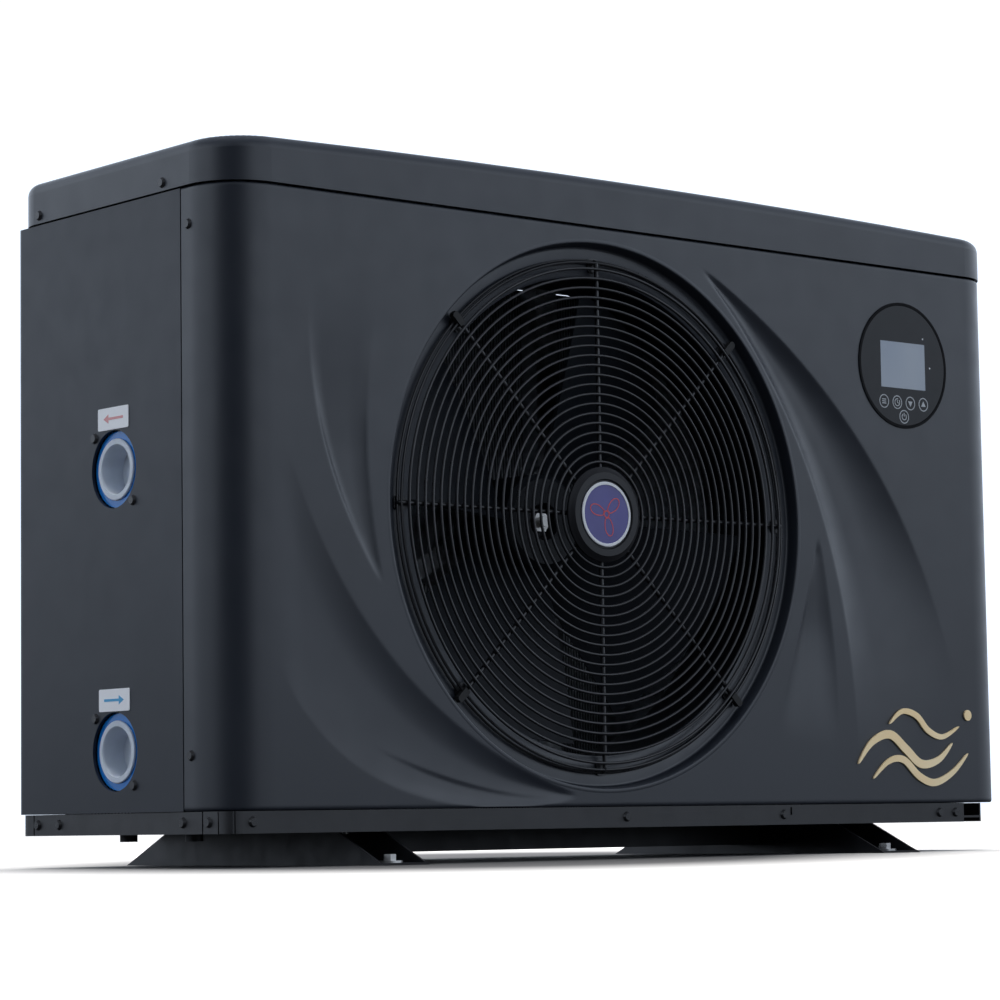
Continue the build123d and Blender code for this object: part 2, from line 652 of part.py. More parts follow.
HUB_FRONT = -78.0
HUB_REAR = -20.0
BLADE_SECTIONS = (
    # distance from the axis, chord, front edge Y, rear edge Y
    (36.0, 46.0, -74.0, -26.0),
    (110.0, 120.0, -100.0, -38.0),
    (FAN_R + 12, 225.0, -127.0, -48.0),
)
with BuildPart() as fan_blades:
    with BuildSketch(Plane(origin=(FAN_X, 0, FAN_Z), x_dir=(1, 0, 0), z_dir=(0, 0, 1))):
        with BuildLine():
            Polyline(
                (SHAFT_R, HUB_FRONT + 14),
                (14, HUB_FRONT + 14),
                (17, HUB_FRONT + 2),
                (FAN_HUB_R - 5, HUB_FRONT),
                (FAN_HUB_R, HUB_FRONT + 5),
                (FAN_HUB_R, HUB_REAR),
                (FAN_HUB_R - 3, HUB_REAR),
                (FAN_HUB_R - 3, HUB_FRONT + 20),
                (14, HUB_FRONT + 20),
                (14, HUB_REAR - 8),
                (SHAFT_R, HUB_REAR - 8),
                close=True,
            )
        make_face()
    revolve(axis=FAN_AXIS)
    for k in range(BLADES):
        # the chord runs from the outlet edge at one side to the inlet edge at the other
        middle = radians(k * 360 / BLADES + 60)
        out = Vector(cos(middle), 0, sin(middle))
        along = Vector(-sin(middle), 0, cos(middle))
        faces = []
        for distance, chord, front_y, rear_y in BLADE_SECTIONS:
            centre = Vector(FAN_X, (front_y + rear_y) / 2, FAN_Z) + out * distance
            slope = (along * chord + Vector(0, front_y - rear_y, 0)).normalized()
            with BuildSketch(Plane(origin=centre, x_dir=slope, z_dir=out), mode=Mode.PRIVATE) as section:
                Rectangle((chord**2 + (front_y - rear_y) ** 2) ** 0.5, 3.0)
            faces.append(section.sketch.faces()[0])
        loft(faces)
    with BuildSketch(front_plane(HUB_REAR + 40)):
        with Locations((FAN_X, FAN_Z)):
            Circle(FAN_R)
    extrude(amount=200, mode=Mode.INTERSECT)
    with BuildSketch(front_plane(HUB_REAR + 40)):
        with Locations((FAN_X, FAN_Z)):
            Circle(FAN_HUB_R - 3)
            Circle(14, mode=Mode.SUBTRACT)
    extrude(amount=HUB_REAR + 40 - HUB_FRONT - 20, mode=Mode.SUBTRACT)
    with BuildSketch(front_plane(HUB_REAR + 40)):
        with Locations((FAN_X, FAN_Z)):
            Circle(SHAFT_R)
    extrude(amount=200, mode=Mode.SUBTRACT)
PARTS["fan"] = fan_blades.part

MOTOR_FRONT = 26.0
MOTOR_REAR = 94.0
MOTOR_R = 48.0
with BuildPart() as motor_shaft:
    with BuildSketch(front_plane(MOTOR_FRONT + 30)):
        with Locations((FAN_X, FAN_Z)):
            Circle(SHAFT_R)
    extrude(amount=MOTOR_FRONT + 30 - HUB_FRONT)
PARTS["motor_shaft"] = motor_shaft.part

with BuildPart() as fan_nut:
    with BuildSketch(front_plane(HUB_FRONT + 13.8)):
        with Locations((FAN_X, FAN_Z)):
            RegularPolygon(10, 6)
            Circle(SHAFT_R, mode=Mode.SUBTRACT)
    extrude(amount=8)
PARTS["fan_nut"] = fan_nut.part

with BuildPart() as fan_motor:
    spin(
        [
            (SHAFT_R + RUNNING_GAP, MOTOR_FRONT - 6),
            (15, MOTOR_FRONT - 6),
            (15, MOTOR_FRONT),
            (MOTOR_R - 6, MOTOR_FRONT),
            (MOTOR_R, MOTOR_FRONT + 8),
            (MOTOR_R, MOTOR_REAR - 8),
            (MOTOR_R - 6, MOTOR_REAR),
            (0, MOTOR_REAR),
            (0, MOTOR_FRONT + 32),
            (SHAFT_R + RUNNING_GAP, MOTOR_FRONT + 32),
        ],
        FAN_CENTRE,
        (0, 1, 0),
    )
PARTS["fan_motor"] = fan_motor.part

RAIL_DX = 92.0
RAIL_W = 26.0
with BuildPart() as motor_rails:
    for end in (-1, 1):
        middle_x = FAN_X + end * RAIL_DX
        rail_z = (FLOOR_TOP, 540)
        bar((middle_x - RAIL_W / 2, middle_x + RAIL_W / 2), (22, 44), rail_z)
        bar((middle_x - RAIL_W / 2 + SHEET, middle_x + RAIL_W / 2 - SHEET), (22 + SHEET, 45), rail_z,
            Mode.SUBTRACT)
PARTS["motor_rails"] = motor_rails.part

BRACKET_LEGS = ((1, 62), (1, -52), (-1, 62), (-1, -52))
with BuildPart() as motor_bracket:
    with BuildSketch(front_plane(21.6)):
        for end, rise in BRACKET_LEGS:
            with BuildLine():
                Polyline(
                    (FAN_X, FAN_Z + 12),
                    (FAN_X + end * RAIL_DX, FAN_Z + rise + 9),
                    (FAN_X + end * (RAIL_DX + 9), FAN_Z + rise),
                    (FAN_X + end * RAIL_DX, FAN_Z + rise - 9),
                    (FAN_X, FAN_Z - 12),
                    close=True,
                )
            make_face()
        with Locations((FAN_X, FAN_Z)):
            Circle(30)
            Rectangle(14, 70)
            Circle(16, mode=Mode.SUBTRACT)
    extrude(amount=5)
PARTS["motor_bracket"] = motor_bracket.part

with BuildPart() as top_rail:
    bar((DIVIDER_LEFT + 4, DIVIDER_RIGHT - 4), (20, 46), (542, 558))
    bar((DIVIDER_LEFT + 4, DIVIDER_RIGHT - 4), (20 + SHEET, 46 - SHEET), (541, 558 - SHEET), Mode.SUBTRACT)
PARTS["top_rail"] = top_rail.part

with BuildPart() as dividers:
    for wall_x, foot_end in ((DIVIDER_LEFT, DIVIDER_LEFT + 14), (DIVIDER_RIGHT, DIVIDER_RIGHT - 14)):
        bar((wall_x - 0.75, wall_x + 0.75), (-134, 108), (FLOOR_TOP, 556))
        bar(sorted((wall_x, foot_end)), (94, 108), (FLOOR_TOP, FLOOR_TOP + 1.5))
PARTS["dividers"] = dividers.part

# ---------------------------------------------------------------- controller in the front panel
CONTROL_CENTRE = (CONTROL_X, 0, CONTROL_Z)
with BuildPart() as control_bezel:
    spin(
        [
            (CONTROL_R, -HY - 0.9),
            (CONTROL_R, -HY),
            (CONTROL_R - 2.2, -HY),
            (CONTROL_R - 2.2, -HY + 10),
            (CONTROL_R - 4.4, -HY + 10),
            (CONTROL_R - 4.4, -HY + 2.2),
            (CONTROL_R - 2.6, -HY + 2.2),
            (CONTROL_R - 2.6, -HY - 0.9),
        ],
        CONTROL_CENTRE,
        (0, 1, 0),
    )
PARTS["control_bezel"] = control_bezel.part

with BuildPart() as control_lens:
    with BuildSketch(front_plane(-HY + 2)):
        with Locations((CONTROL_X, CONTROL_Z)):
            Circle(CONTROL_R - 3)
    extrude(amount=2.6)
PARTS["control_lens"] = control_lens.part

with BuildPart() as control_display:
    with BuildSketch(front_plane(-HY + 5.5)):
        with Locations((LCD_X, LCD_Z)):
            Rectangle(LCD_W, LCD_H)
    extrude(amount=3.2)
PARTS["control_display"] = control_display.part

with BuildPart() as control_board:
    with BuildSketch(front_plane(-HY + 7.4)):
        with Locations((CONTROL_X, CONTROL_Z)):
            Circle(CONTROL_R - 6)
    extrude(amount=1.6)
PARTS["control_board"] = control_board.part

with BuildPart() as control_housing:
    with BuildSketch(front_plane(-HY + 30)):
        with Locations((CONTROL_X, CONTROL_Z)):
            Circle(CONTROL_R - 4.8)
    extrude(amount=21)
    with BuildSketch(front_plane(-HY + 28)):
        with Locations((CONTROL_X, CONTROL_Z)):
            Circle(CONTROL_R - 7)
    extrude(amount=22, mode=Mode.SUBTRACT)
PARTS["control_housing"] = control_housing.part

EMBLEM_X = (256.0, 418.0)
EMBLEM_Z = (76.0, 98.0, 120.0)
with BuildPart() as front_emblem:
    with BuildSketch(front_plane(-HY)):
        for k, low in enumerate(EMBLEM_Z):
            tip = (EMBLEM_X[0] + 14 * k, low)
            crest = ((EMBLEM_X[0] + EMBLEM_X[1]) / 2 + 12 * k, low + 2)
            end = (EMBLEM_X[1], low + 14 - 6 * k)
            crescent(tip, ((tip[0] + crest[0]) / 2, low + 17), crest, ((tip[0] + crest[0]) / 2, low + 7))
            crescent(crest, ((crest[0] + end[0]) / 2, low - 4), end, ((crest[0] + end[0]) / 2, low - 12))
    extrude(amount=1.2)
PARTS["front_emblem"] = front_emblem.part

LABEL_W = 46.0
LABEL_H = 19.0
LABEL_RISE = 43.6
with BuildPart() as port_labels:
    with BuildSketch(left_plane(-HX)):
        with Locations(*[(-PORT_Y, z + LABEL_RISE) for z in PORTS_Z.values()]):
            RectangleRounded(LABEL_W, LABEL_H, 1.5)
    extrude(amount=0.5)
PARTS["port_labels"] = port_labels.part

# ---------------------------------------------------------------- titanium water heat exchanger
SHELL_Z = (58.0, 470.0)
UNION_FACE = -HX + 4.0
with BuildPart() as exchanger_shell:
    with BuildSketch(Plane.XY.offset(SHELL_Z[0])):
        with Locations((EXCHANGER_X, PORT_Y)):
            Circle(EXCHANGER_R)
            Circle(EXCHANGER_R - 4, mode=Mode.SUBTRACT)
    extrude(amount=SHELL_Z[1] - SHELL_Z[0])
    with BuildSketch(left_plane(EXCHANGER_X)):
        with Locations(*[(-PORT_Y, z) for z in PORTS_Z.values()]):
            Circle(SOCKET_R - 2)
    extrude(amount=EXCHANGER_R + 5, mode=Mode.SUBTRACT)
PARTS["exchanger_shell"] = exchanger_shell.part

CAP_H = 14.0
with BuildPart() as exchanger_caps:
    spin(
        [
            (0, SHELL_Z[0] - CAP_H),
            (EXCHANGER_R, SHELL_Z[0] - CAP_H),
            (EXCHANGER_R + 4, SHELL_Z[0] - CAP_H + 4),
            (EXCHANGER_R + 4, SHELL_Z[0]),
            (0, SHELL_Z[0]),
        ],
        (EXCHANGER_X, PORT_Y, 0),
        (0, 0, 1),
    )
    spin(
        [
            (0, SHELL_Z[1]),
            (EXCHANGER_R + 4, SHELL_Z[1]),
            (EXCHANGER_R + 4, SHELL_Z[1] + CAP_H - 4),
            (EXCHANGER_R, SHELL_Z[1] + CAP_H),
            (0, SHELL_Z[1] + CAP_H),
        ],
        (EXCHANGER_X, PORT_Y, 0),
        (0, 0, 1),
    )
PARTS["exchanger_caps"] = exchanger_caps.part

with BuildPart() as titanium_coil:
    for i in range(14):
        with Locations((EXCHANGER_X, PORT_Y, 84 + 26 * i)):
            Torus(38, 6)
    with BuildSketch(Plane.XY.offset(84)):
        with Locations((EXCHANGER_X - 14, PORT_Y), (EXCHANGER_X + 14, PORT_Y)):
            Circle(6)
    extrude(amount=26 * 13)
PARTS["titanium_coil"] = titanium_coil.part

for port, port_z in PORTS_Z.items():
    with BuildPart() as union:
        spin(
            [
                (SOCKET_R, 0),
                (UNION_R, 0),
                (UNION_R, -9),
                (UNION_R - 3.5, -10),
                (UNION_R - 3.5, -40),
                (SOCKET_R - 2, -40),
                (SOCKET_R - 2, -26),
                (SOCKET_R, -26),
            ],
            (UNION_FACE, PORT_Y, port_z),
            (-1, 0, 0),
        )
        with BuildSketch(Plane.XY.offset(port_z - 60)):
            with Locations((EXCHANGER_X, PORT_Y)):
                Circle(EXCHANGER_R + 0.1)
        extrude(amount=120, mode=Mode.SUBTRACT)
    PARTS["water_" + port + "_union"] = union.part

    with BuildPart() as cap:
        spin(
            [
                (0, -19),
                (20.4, -19),
                (20.9, 0.6),
                (21.6, 2.2),
                (25.8, 2.2),
                (26.4, 1.6),
                (26.4, 0.4),
                (SOCKET_R - 0.1, 0.4),
                (SOCKET_R - 0.5, -21),
                (0, -21),
            ],
            (UNION_FACE, PORT_Y, port_z),
            (-1, 0, 0),
        )
    PARTS[port + "_transport_cap"] = cap.part

with BuildPart() as flow_sensor:
    with BuildSketch(Plane.XY.offset(SHELL_Z[1] + 14)):
        with Locations((EXCHANGER_X, PORT_Y)):
            RegularPolygon(15, 6)
    extrude(amount=10)
    with BuildSketch(Plane.XY.offset(SHELL_Z[1] + 24)):
        with Locations((EXCHANGER_X, PORT_Y)):
            Circle(11)
    extrude(amount=26)
PARTS["flow_sensor"] = flow_sensor.part

# ---------------------------------------------------------------- finned air coil
with BuildPart() as coil_fins:
    bar((COIL_X[0] + 2, COIL_X[1] - 2), COIL_Y, COIL_Z)
PARTS["coil_fins"] = coil_fins.part

with BuildPart() as coil_end_plates:
    for plate_x in COIL_X:
        bar((plate_x - 1, plate_x + 1), (COIL_Y[0] - 2, COIL_Y[1] + 3), (FLOOR_TOP, COIL_Z[1] + 4))
PARTS["coil_end_plates"] = coil_end_plates.part

COIL_PIPE_R = 3.6
BEND_R = 10.5
with BuildPart() as coil_bends:
    for z in range(58, 540, 42):
        with Locations(Location((COIL_X[0] - 1, 128, z + BEND_R), (90, 0, 0))):
            Torus(BEND_R, COIL_PIPE_R)
    bar((COIL_X[0] - 1, COIL_X[0] + 40), (100, 160), (30, 600), Mode.SUBTRACT)
PARTS["coil_return_bends"] = coil_bends.part

with BuildPart() as coil_header:
    with BuildSketch(Plane.XY.offset(70)):
        with Locations((COIL_X[1] + 16, 128)):
            Circle(8)
    extrude(amount=440)
    for z in range(90, 500, 42):
        with BuildSketch(right_plane(COIL_X[1] + 1)):
            with Locations((128, z)):
                Circle(COIL_PIPE_R)
        extrude(amount=15)
PARTS["coil_header"] = coil_header.part

# ---------------------------------------------------------------- compressor bay
COMPRESSOR_LOW = 62.0
COMPRESSOR_TOP = 352.0
with BuildPart() as compressor:
    spin(
        [
            (0, COMPRESSOR_LOW),
            (COMPRESSOR_R - 16, COMPRESSOR_LOW),
            (COMPRESSOR_R, COMPRESSOR_LOW + 20),
            (COMPRESSOR_R, COMPRESSOR_TOP - 34),
            (COMPRESSOR_R - 18, COMPRESSOR_TOP - 8),
            (COMPRESSOR_R - 36, COMPRESSOR_TOP),
            (0, COMPRESSOR_TOP),
        ],
        (COMPRESSOR_X, COMPRESSOR_Y, 0),
        (0, 0, 1),
    )
PARTS["compressor"] = compressor.part

FOOT_CIRCLE = 84.0
GROMMET_PLACES = [
    (COMPRESSOR_X + FOOT_CIRCLE * cos(radians(a)), COMPRESSOR_Y + FOOT_CIRCLE * sin(radians(a)))
    for a in (90, 210, 330)
]
with BuildPart() as compressor_base:
    with BuildSketch(Plane.XY.offset(COMPRESSOR_LOW - 4)):
        with Locations((COMPRESSOR_X, COMPRESSOR_Y)):
            Circle(60)
        for x, y in GROMMET_PLACES:
            with Locations((x, y)):
                Circle(15)
            with Locations(((x + COMPRESSOR_X) / 2, (y + COMPRESSOR_Y) / 2)):
                Circle(36)
        with Locations(*GROMMET_PLACES):
            Circle(7.2, mode=Mode.SUBTRACT)
    extrude(amount=4)
PARTS["compressor_base"] = compressor_base.part

with BuildPart() as grommets:
    for x, y in GROMMET_PLACES:
        spin(
            [
                (4.2, FLOOR_TOP),
                (13, FLOOR_TOP),
                (13, COMPRESSOR_LOW - 4),
                (7.1, COMPRESSOR_LOW - 4),
                (7.1, COMPRESSOR_LOW),
                (12, COMPRESSOR_LOW),
                (11, COMPRESSOR_LOW + 7),
                (4.2, COMPRESSOR_LOW + 7),
            ],
            (x, y, 0),
            (0, 0, 1),
        )
PARTS["compressor_grommets"] = grommets.part

with BuildPart() as mount_bolts:
    with BuildSketch(Plane.XY.offset(FLOOR_TOP)):
        with Locations(*GROMMET_PLACES):
            Circle(4)
    extrude(amount=COMPRESSOR_LOW + 7 - FLOOR_TOP)
    with BuildSketch(Plane.XY.offset(COMPRESSOR_LOW + 7)):
        with Locations(*GROMMET_PLACES):
            RegularPolygon(8, 6)
    extrude(amount=7)
PARTS["compressor_bolts"] = mount_bolts.part

ACCUMULATOR = (226.0, 62.0)
with BuildPart() as accumulator:
    spin(
        [(0, 84), (22, 84), (32, 98), (32, 262), (20, 278), (0, 278)],
        (ACCUMULATOR[0], ACCUMULATOR[1], 0),
        (0, 0, 1),
    )
PARTS["accumulator"] = accumulator.part

VALVE_Z = 330.0
with BuildPart() as four_way_valve:
    with BuildSketch(right_plane(196)):
        with Locations((84, VALVE_Z)):
            Circle(13)
    extrude(amount=92)
    with BuildSketch(front_plane(84)):
        with Locations((242, VALVE_Z)):
            RectangleRounded(30, 20, 4)
    extrude(amount=28)
PARTS["four_way_valve"] = four_way_valve.part

with BuildPart() as expansion_valve:
    with BuildSketch(Plane.XY.offset(120)):
        with Locations((214, -72)):
            Circle(11)
    extrude(amount=34)
    with BuildSketch(Plane.XY.offset(154)):
        with Locations((214, -72)):
            Circle(19)
    extrude(amount=36)
PARTS["expansion_valve"] = expansion_valve.part

DISCHARGE_ROUTE = [
    (300, 38, 352.5),
    (300, 38, 372),
    (300, 100, 372),
    (276, 100, 372),
    (276, 100, 343.5),
]
SUCTION_ROUTE = [
    (ACCUMULATOR[0], ACCUMULATOR[1] + 14, 278.2),
    (ACCUMULATOR[0], ACCUMULATOR[1] + 14, 298),
    (ACCUMULATOR[0], 88, 298),
    (ACCUMULATOR[0], 88, 316.6),
]
LIQUID_ROUTE = [
    (214, -72, 119),
    (214, -72, 96),
    (183, -72, 96),
    (183, 102, 96),
    (211, 102, 96),
    (211, 119.5, 96),
]
discharge_pipe = pipe(DISCHARGE_ROUTE, 5, 11)
suction_pipe = pipe(SUCTION_ROUTE, 6, 5)
liquid_pipe = pipe(LIQUID_ROUTE, 4.5, 5.5)
with BuildPart() as refrigerant_pipes:
    add(discharge_pipe)
    add(suction_pipe)
    add(liquid_pipe)
PARTS["refrigerant_pipes"] = refrigerant_pipes.part

# ---------------------------------------------------------------- electrical box
EBOX_X = (182.0, 446.0)
EBOX_Y = (-96.0, 92.0)
EBOX_Z = (392.0, 512.0)
with BuildPart() as electrical_box:
    bar(EBOX_X, EBOX_Y, EBOX_Z)
    bar((EBOX_X[0] + 1.5, EBOX_X[1] - 1.5), (EBOX_Y[0] + 1.5, EBOX_Y[1] - 1.5), (EBOX_Z[0] + 1.5, 600),
        Mode.SUBTRACT)
    bar((EBOX_X[1] - 3, EBOX_X[1] + 1), (-50, 50), (EBOX_Z[0] + 1.5, 440), Mode.SUBTRACT)
PARTS["electrical_box"] = electrical_box.part

with BuildPart() as main_board:
    bar((196, 350), (-84, 80), (EBOX_Z[0] + 9, EBOX_Z[0] + 10.6))
    with BuildSketch(Plane.XY.offset(EBOX_Z[0] + 1.5)):
        with Locations((273, -2)):
            with GridLocations(140, 150, 2, 2):
                Circle(3)
    extrude(amount=7.5)
    for x, y, size, tall in ((226, -50, 30, 22), (226, 10, 22, 34), (262, 14, 22, 34), (306, -44, 46, 16)):
        bar((x - size / 2, x + size / 2), (y - size / 2, y + size / 2),
            (EBOX_Z[0] + 10.6, EBOX_Z[0] + 10.6 + tall))
PARTS["main_board"] = main_board.part

with BuildPart() as terminal_block:
    bar((386, 410), (-62, 62), (EBOX_Z[0] + 1.5, EBOX_Z[0] + 24))
    for i in range(7):
        bar((384, 412), (-55 + 17 * i, -48 + 17 * i), (EBOX_Z[0] + 14, EBOX_Z[0] + 26), Mode.SUBTRACT)
PARTS["terminal_block"] = terminal_block.part

# ---------------------------------------------------------------- write every piece
for name, piece in PARTS.items():
    piece.label = name
    export_step(piece, "parts/" + name + ".step")
print(len(PARTS), "parts")
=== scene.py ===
"""The looks of the pool heat pump: materials, moulded relief, prints, light and camera."""
import json
from math import atan2, cos, degrees, hypot, pi, radians, sin

import bmesh
import bpy
import numpy as np
from mathutils import Matrix, Vector


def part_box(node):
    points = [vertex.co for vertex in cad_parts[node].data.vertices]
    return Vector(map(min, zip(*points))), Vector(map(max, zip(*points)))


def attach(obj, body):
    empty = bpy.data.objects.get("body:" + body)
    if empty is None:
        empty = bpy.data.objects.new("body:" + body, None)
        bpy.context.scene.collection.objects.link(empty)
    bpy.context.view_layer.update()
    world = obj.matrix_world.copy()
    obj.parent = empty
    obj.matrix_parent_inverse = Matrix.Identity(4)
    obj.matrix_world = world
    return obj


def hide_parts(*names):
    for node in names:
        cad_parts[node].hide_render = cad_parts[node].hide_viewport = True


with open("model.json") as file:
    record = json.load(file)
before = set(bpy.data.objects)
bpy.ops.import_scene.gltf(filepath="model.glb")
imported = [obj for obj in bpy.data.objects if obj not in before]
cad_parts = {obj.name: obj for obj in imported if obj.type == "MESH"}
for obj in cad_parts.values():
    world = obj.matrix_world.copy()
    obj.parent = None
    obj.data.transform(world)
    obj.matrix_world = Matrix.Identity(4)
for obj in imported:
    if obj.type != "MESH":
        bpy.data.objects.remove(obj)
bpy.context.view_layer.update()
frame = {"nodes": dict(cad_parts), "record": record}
NODES = frame["nodes"]
SLOT_OF = {part["node"]: part["material_slot"] for part in frame["record"]["subparts"]}
MM = 0.001
CASING = "casing"
FAN_WHEEL = "fan_wheel"

# ---------------------------------------------------------------- measures, from the frame
lid_low, lid_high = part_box("lid")
front_low, front_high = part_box("front_panel")
rings_low, rings_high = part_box("fan_guard_rings")
bezel_low, bezel_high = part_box("control_bezel")
lens_low, lens_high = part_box("control_lens")
badge_low, badge_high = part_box("hub_badge")
labels_low, labels_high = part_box("port_labels")
emblem_low, emblem_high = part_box("front_emblem")

HALF_X = front_high.x
FACE_Y = lid_low.y + 1.0 * MM
CORNER_R = 48 * MM
FOOT_HALF_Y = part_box("left_foot")[1].y
SKIN = 3 * MM
RETURN_Y = front_high.y
PANEL_LOW = front_high.z - 517 * MM
PANEL_HIGH = front_high.z
FAN_X = (rings_low.x + rings_high.x) / 2
FAN_Z = (rings_low.z + rings_high.z) / 2
GUARD_R = (rings_high.x - rings_low.x) / 2
GUARD_Y = (rings_low.y + rings_high.y) / 2
RECESS_R = 243.3 * MM
RECESS_FLOOR_R = 241.5 * MM
THROAT_R = 214 * MM
RECESS_Y = FACE_Y + 12 * MM
CONTROL_X = (bezel_low.x + bezel_high.x) / 2
CONTROL_Z = (bezel_low.z + bezel_high.z) / 2
CONTROL_R = (bezel_high.x - bezel_low.x) / 2
BADGE_R = (badge_high.x - badge_low.x) / 2


# ---------------------------------------------------------------- materials
class Shader:
    """A Principled material with its nodes laid out by small calls."""

    def __init__(self, name, roughness=0.5, metallic=0.0, **sockets):
        self.material = bpy.data.materials.new(name)
        self.material.use_nodes = True
        self.tree = self.material.node_tree
        self.tree.nodes.clear()
        self.output = self.tree.nodes.new("ShaderNodeOutputMaterial")
        self.principled = self.tree.nodes.new("ShaderNodeBsdfPrincipled")
        self.link(self.principled.outputs["BSDF"], self.output.inputs["Surface"])
        self.principled.inputs["Roughness"].default_value = roughness
        self.principled.inputs["Metallic"].default_value = metallic
        for socket, value in sockets.items():
            self.principled.inputs[socket.replace("_", " ")].default_value = value
        self.place = self.tree.nodes.new("ShaderNodeTexCoord").outputs["Object"]

    def link(self, start, end):
        self.tree.links.new(start, end)

    def stretched(self, scale):
        """Object coordinates stretched by a (x, y, z) scale."""
        mapping = self.tree.nodes.new("ShaderNodeMapping")
        mapping.inputs["Scale"].default_value = scale
        self.link(self.place, mapping.inputs["Vector"])
        return mapping.outputs["Vector"]

    def noise(self, scale, detail=3.0, distortion=0.0, place=None):
        node = self.tree.nodes.new("ShaderNodeTexNoise")
        node.inputs["Scale"].default_value = scale
        node.inputs["Detail"].default_value = detail
        node.inputs["Distortion"].default_value = distortion
        self.link(place or self.place, node.inputs["Vector"])
        return node.outputs["Fac"]

    def voronoi(self, scale, feature="F1"):
        node = self.tree.nodes.new("ShaderNodeTexVoronoi")
        node.feature = feature
        node.inputs["Scale"].default_value = scale
        self.link(self.place, node.inputs["Vector"])
        return node.outputs["Distance"]

    def wave(self, scale, direction, distortion=0.0):
        node = self.tree.nodes.new("ShaderNodeTexWave")
        node.bands_direction = direction
        node.inputs["Scale"].default_value = scale
        node.inputs["Distortion"].default_value = distortion
        self.link(self.place, node.inputs["Vector"])
        return node.outputs["Fac"]

    def spread(self, value, low, high, start=0.3, end=0.7):
        node = self.tree.nodes.new("ShaderNodeMapRange")
        node.inputs["From Min"].default_value = start
        node.inputs["From Max"].default_value = end
        node.inputs["To Min"].default_value = low
        node.inputs["To Max"].default_value = high
        self.link(value, node.inputs["Value"])
        return node.outputs["Result"]

    def mixed(self, amount, first, second):
        node = self.tree.nodes.new("ShaderNodeMix")
        node.data_type = "RGBA"
        self.link(amount, node.inputs["Factor"])
        for socket, colour in (("A", first), ("B", second)):
            target = [s for s in node.inputs if s.name == socket and s.type == "RGBA"][0]
            if isinstance(colour, (tuple, list)):
                target.default_value = (*colour, 1.0)
            else:
                self.link(colour, target)
        return [s for s in node.outputs if s.type == "RGBA"][0]

    def colour(self, value):
        self.link(value, self.principled.inputs["Base Color"])

    def rough(self, value):
        self.link(value, self.principled.inputs["Roughness"])

    def bump(self, heights):
        """Stack bumps given as (height output, strength, distance in metres)."""
        last = None
        for height, strength, distance in heights:
            node = self.tree.nodes.new("ShaderNodeBump")
            node.inputs["Strength"].default_value = strength
            node.inputs["Distance"].default_value = distance
            self.link(height, node.inputs["Height"])
            if last:
                self.link(last, node.inputs["Normal"])
            last = node.outputs["Normal"]
        self.link(last, self.principled.inputs["Normal"])


def shade(colour, factor):
    return tuple(channel * factor for channel in colour)


def moulded(name, colour, roughness, grain=1400, grain_strength=0.18, mottle=0.10, **sockets):
    """Injection-moulded plastic: fine grain, faint mottle, slow change in gloss."""
    s = Shader(name, roughness, **sockets)
    broad = s.noise(7, 2)
    s.colour(s.mixed(s.spread(broad, 0, 1), shade(colour, 1 - mottle), shade(colour, 1 + mottle)))
    s.rough(s.spread(s.noise(38, 4), roughness - 0.035, roughness + 0.035))
    s.bump([(s.noise(grain, 2), grain_strength, 0.0002), (s.noise(3.2, 1), 0.10, 0.004)])
    return s.material


def coated(name, colour, roughness, peel=420, **sockets):
    """Powder coat or enamel on metal: orange peel, dust in the gloss."""
    s = Shader(name, roughness, **sockets)
    s.colour(s.mixed(s.spread(s.noise(22, 5), 0, 1), shade(colour, 0.85), shade(colour, 1.25)))
    s.rough(s.spread(s.noise(60, 4), roughness - 0.05, roughness + 0.08))
    s.bump([(s.noise(peel, 2), 0.22, 0.0002)])
    return s.material


def plated(name, colour, roughness, stretch=(900, 60, 60)):
    """Bare or zinc-plated metal with drawn marks and stained patches."""
    s = Shader(name, roughness, metallic=1.0)
    drawn = s.noise(1, 3, place=s.stretched(stretch))
    patches = s.noise(26, 5, 0.6)
    tint = s.mixed(s.spread(patches, 0, 1), shade(colour, 0.72), shade(colour, 1.08))
    s.colour(s.mixed(s.spread(drawn, 0, 0.5), tint, shade(colour, 0.6)))
    s.rough(s.spread(patches, roughness - 0.06, roughness + 0.14))
    s.bump([(drawn, 0.16, 0.0001)])
    return s.material


def spangled(name):
    """Galvanised sheet with its zinc spangle."""
    s = Shader(name, 0.38, metallic=1.0)
    flakes = s.voronoi(70)
    s.colour(s.mixed(s.spread(flakes, 0, 1, 0.1, 0.6), (0.36, 0.38, 0.40), (0.58, 0.60, 0.62)))
    s.rough(s.spread(flakes, 0.28, 0.5, 0.1, 0.6))
    s.bump([(s.noise(400, 2), 0.1, 0.0001)])
    return s.material


def finned(name):
    """Aluminium heat-exchanger fins seen edge on, with a row pattern: bright fin edges, and painted shade for the
    gaps between them.
    """
    s = Shader(name, 0.35, metallic=1.0)
    edges = s.wave(90, "X", 0.3)
    # the dark bands are painted shade for the gaps between the fins, the bright bands the fin edges
    s.colour(s.mixed(s.spread(edges, 0, 1, 0.2, 0.8), (0.16, 0.17, 0.18), (0.72, 0.74, 0.77)))
    s.rough(s.spread(s.noise(50, 3), 0.28, 0.5))
    s.bump([(edges, 0.8, 0.0015), (s.noise(24, 3), 0.2, 0.002)])
    return s.material


def lacquered(name, colour, **sockets):
    """Smooth glossy plastic or film."""
    s = Shader(name, 0.16, **sockets)
    s.colour(s.mixed(s.spread(s.noise(30, 3), 0, 1), shade(colour, 0.92), shade(colour, 1.08)))
    s.rough(s.spread(s.noise(90, 4), 0.12, 0.24))
    s.bump([(s.noise(8, 2), 0.05, 0.001)])
    return s.material


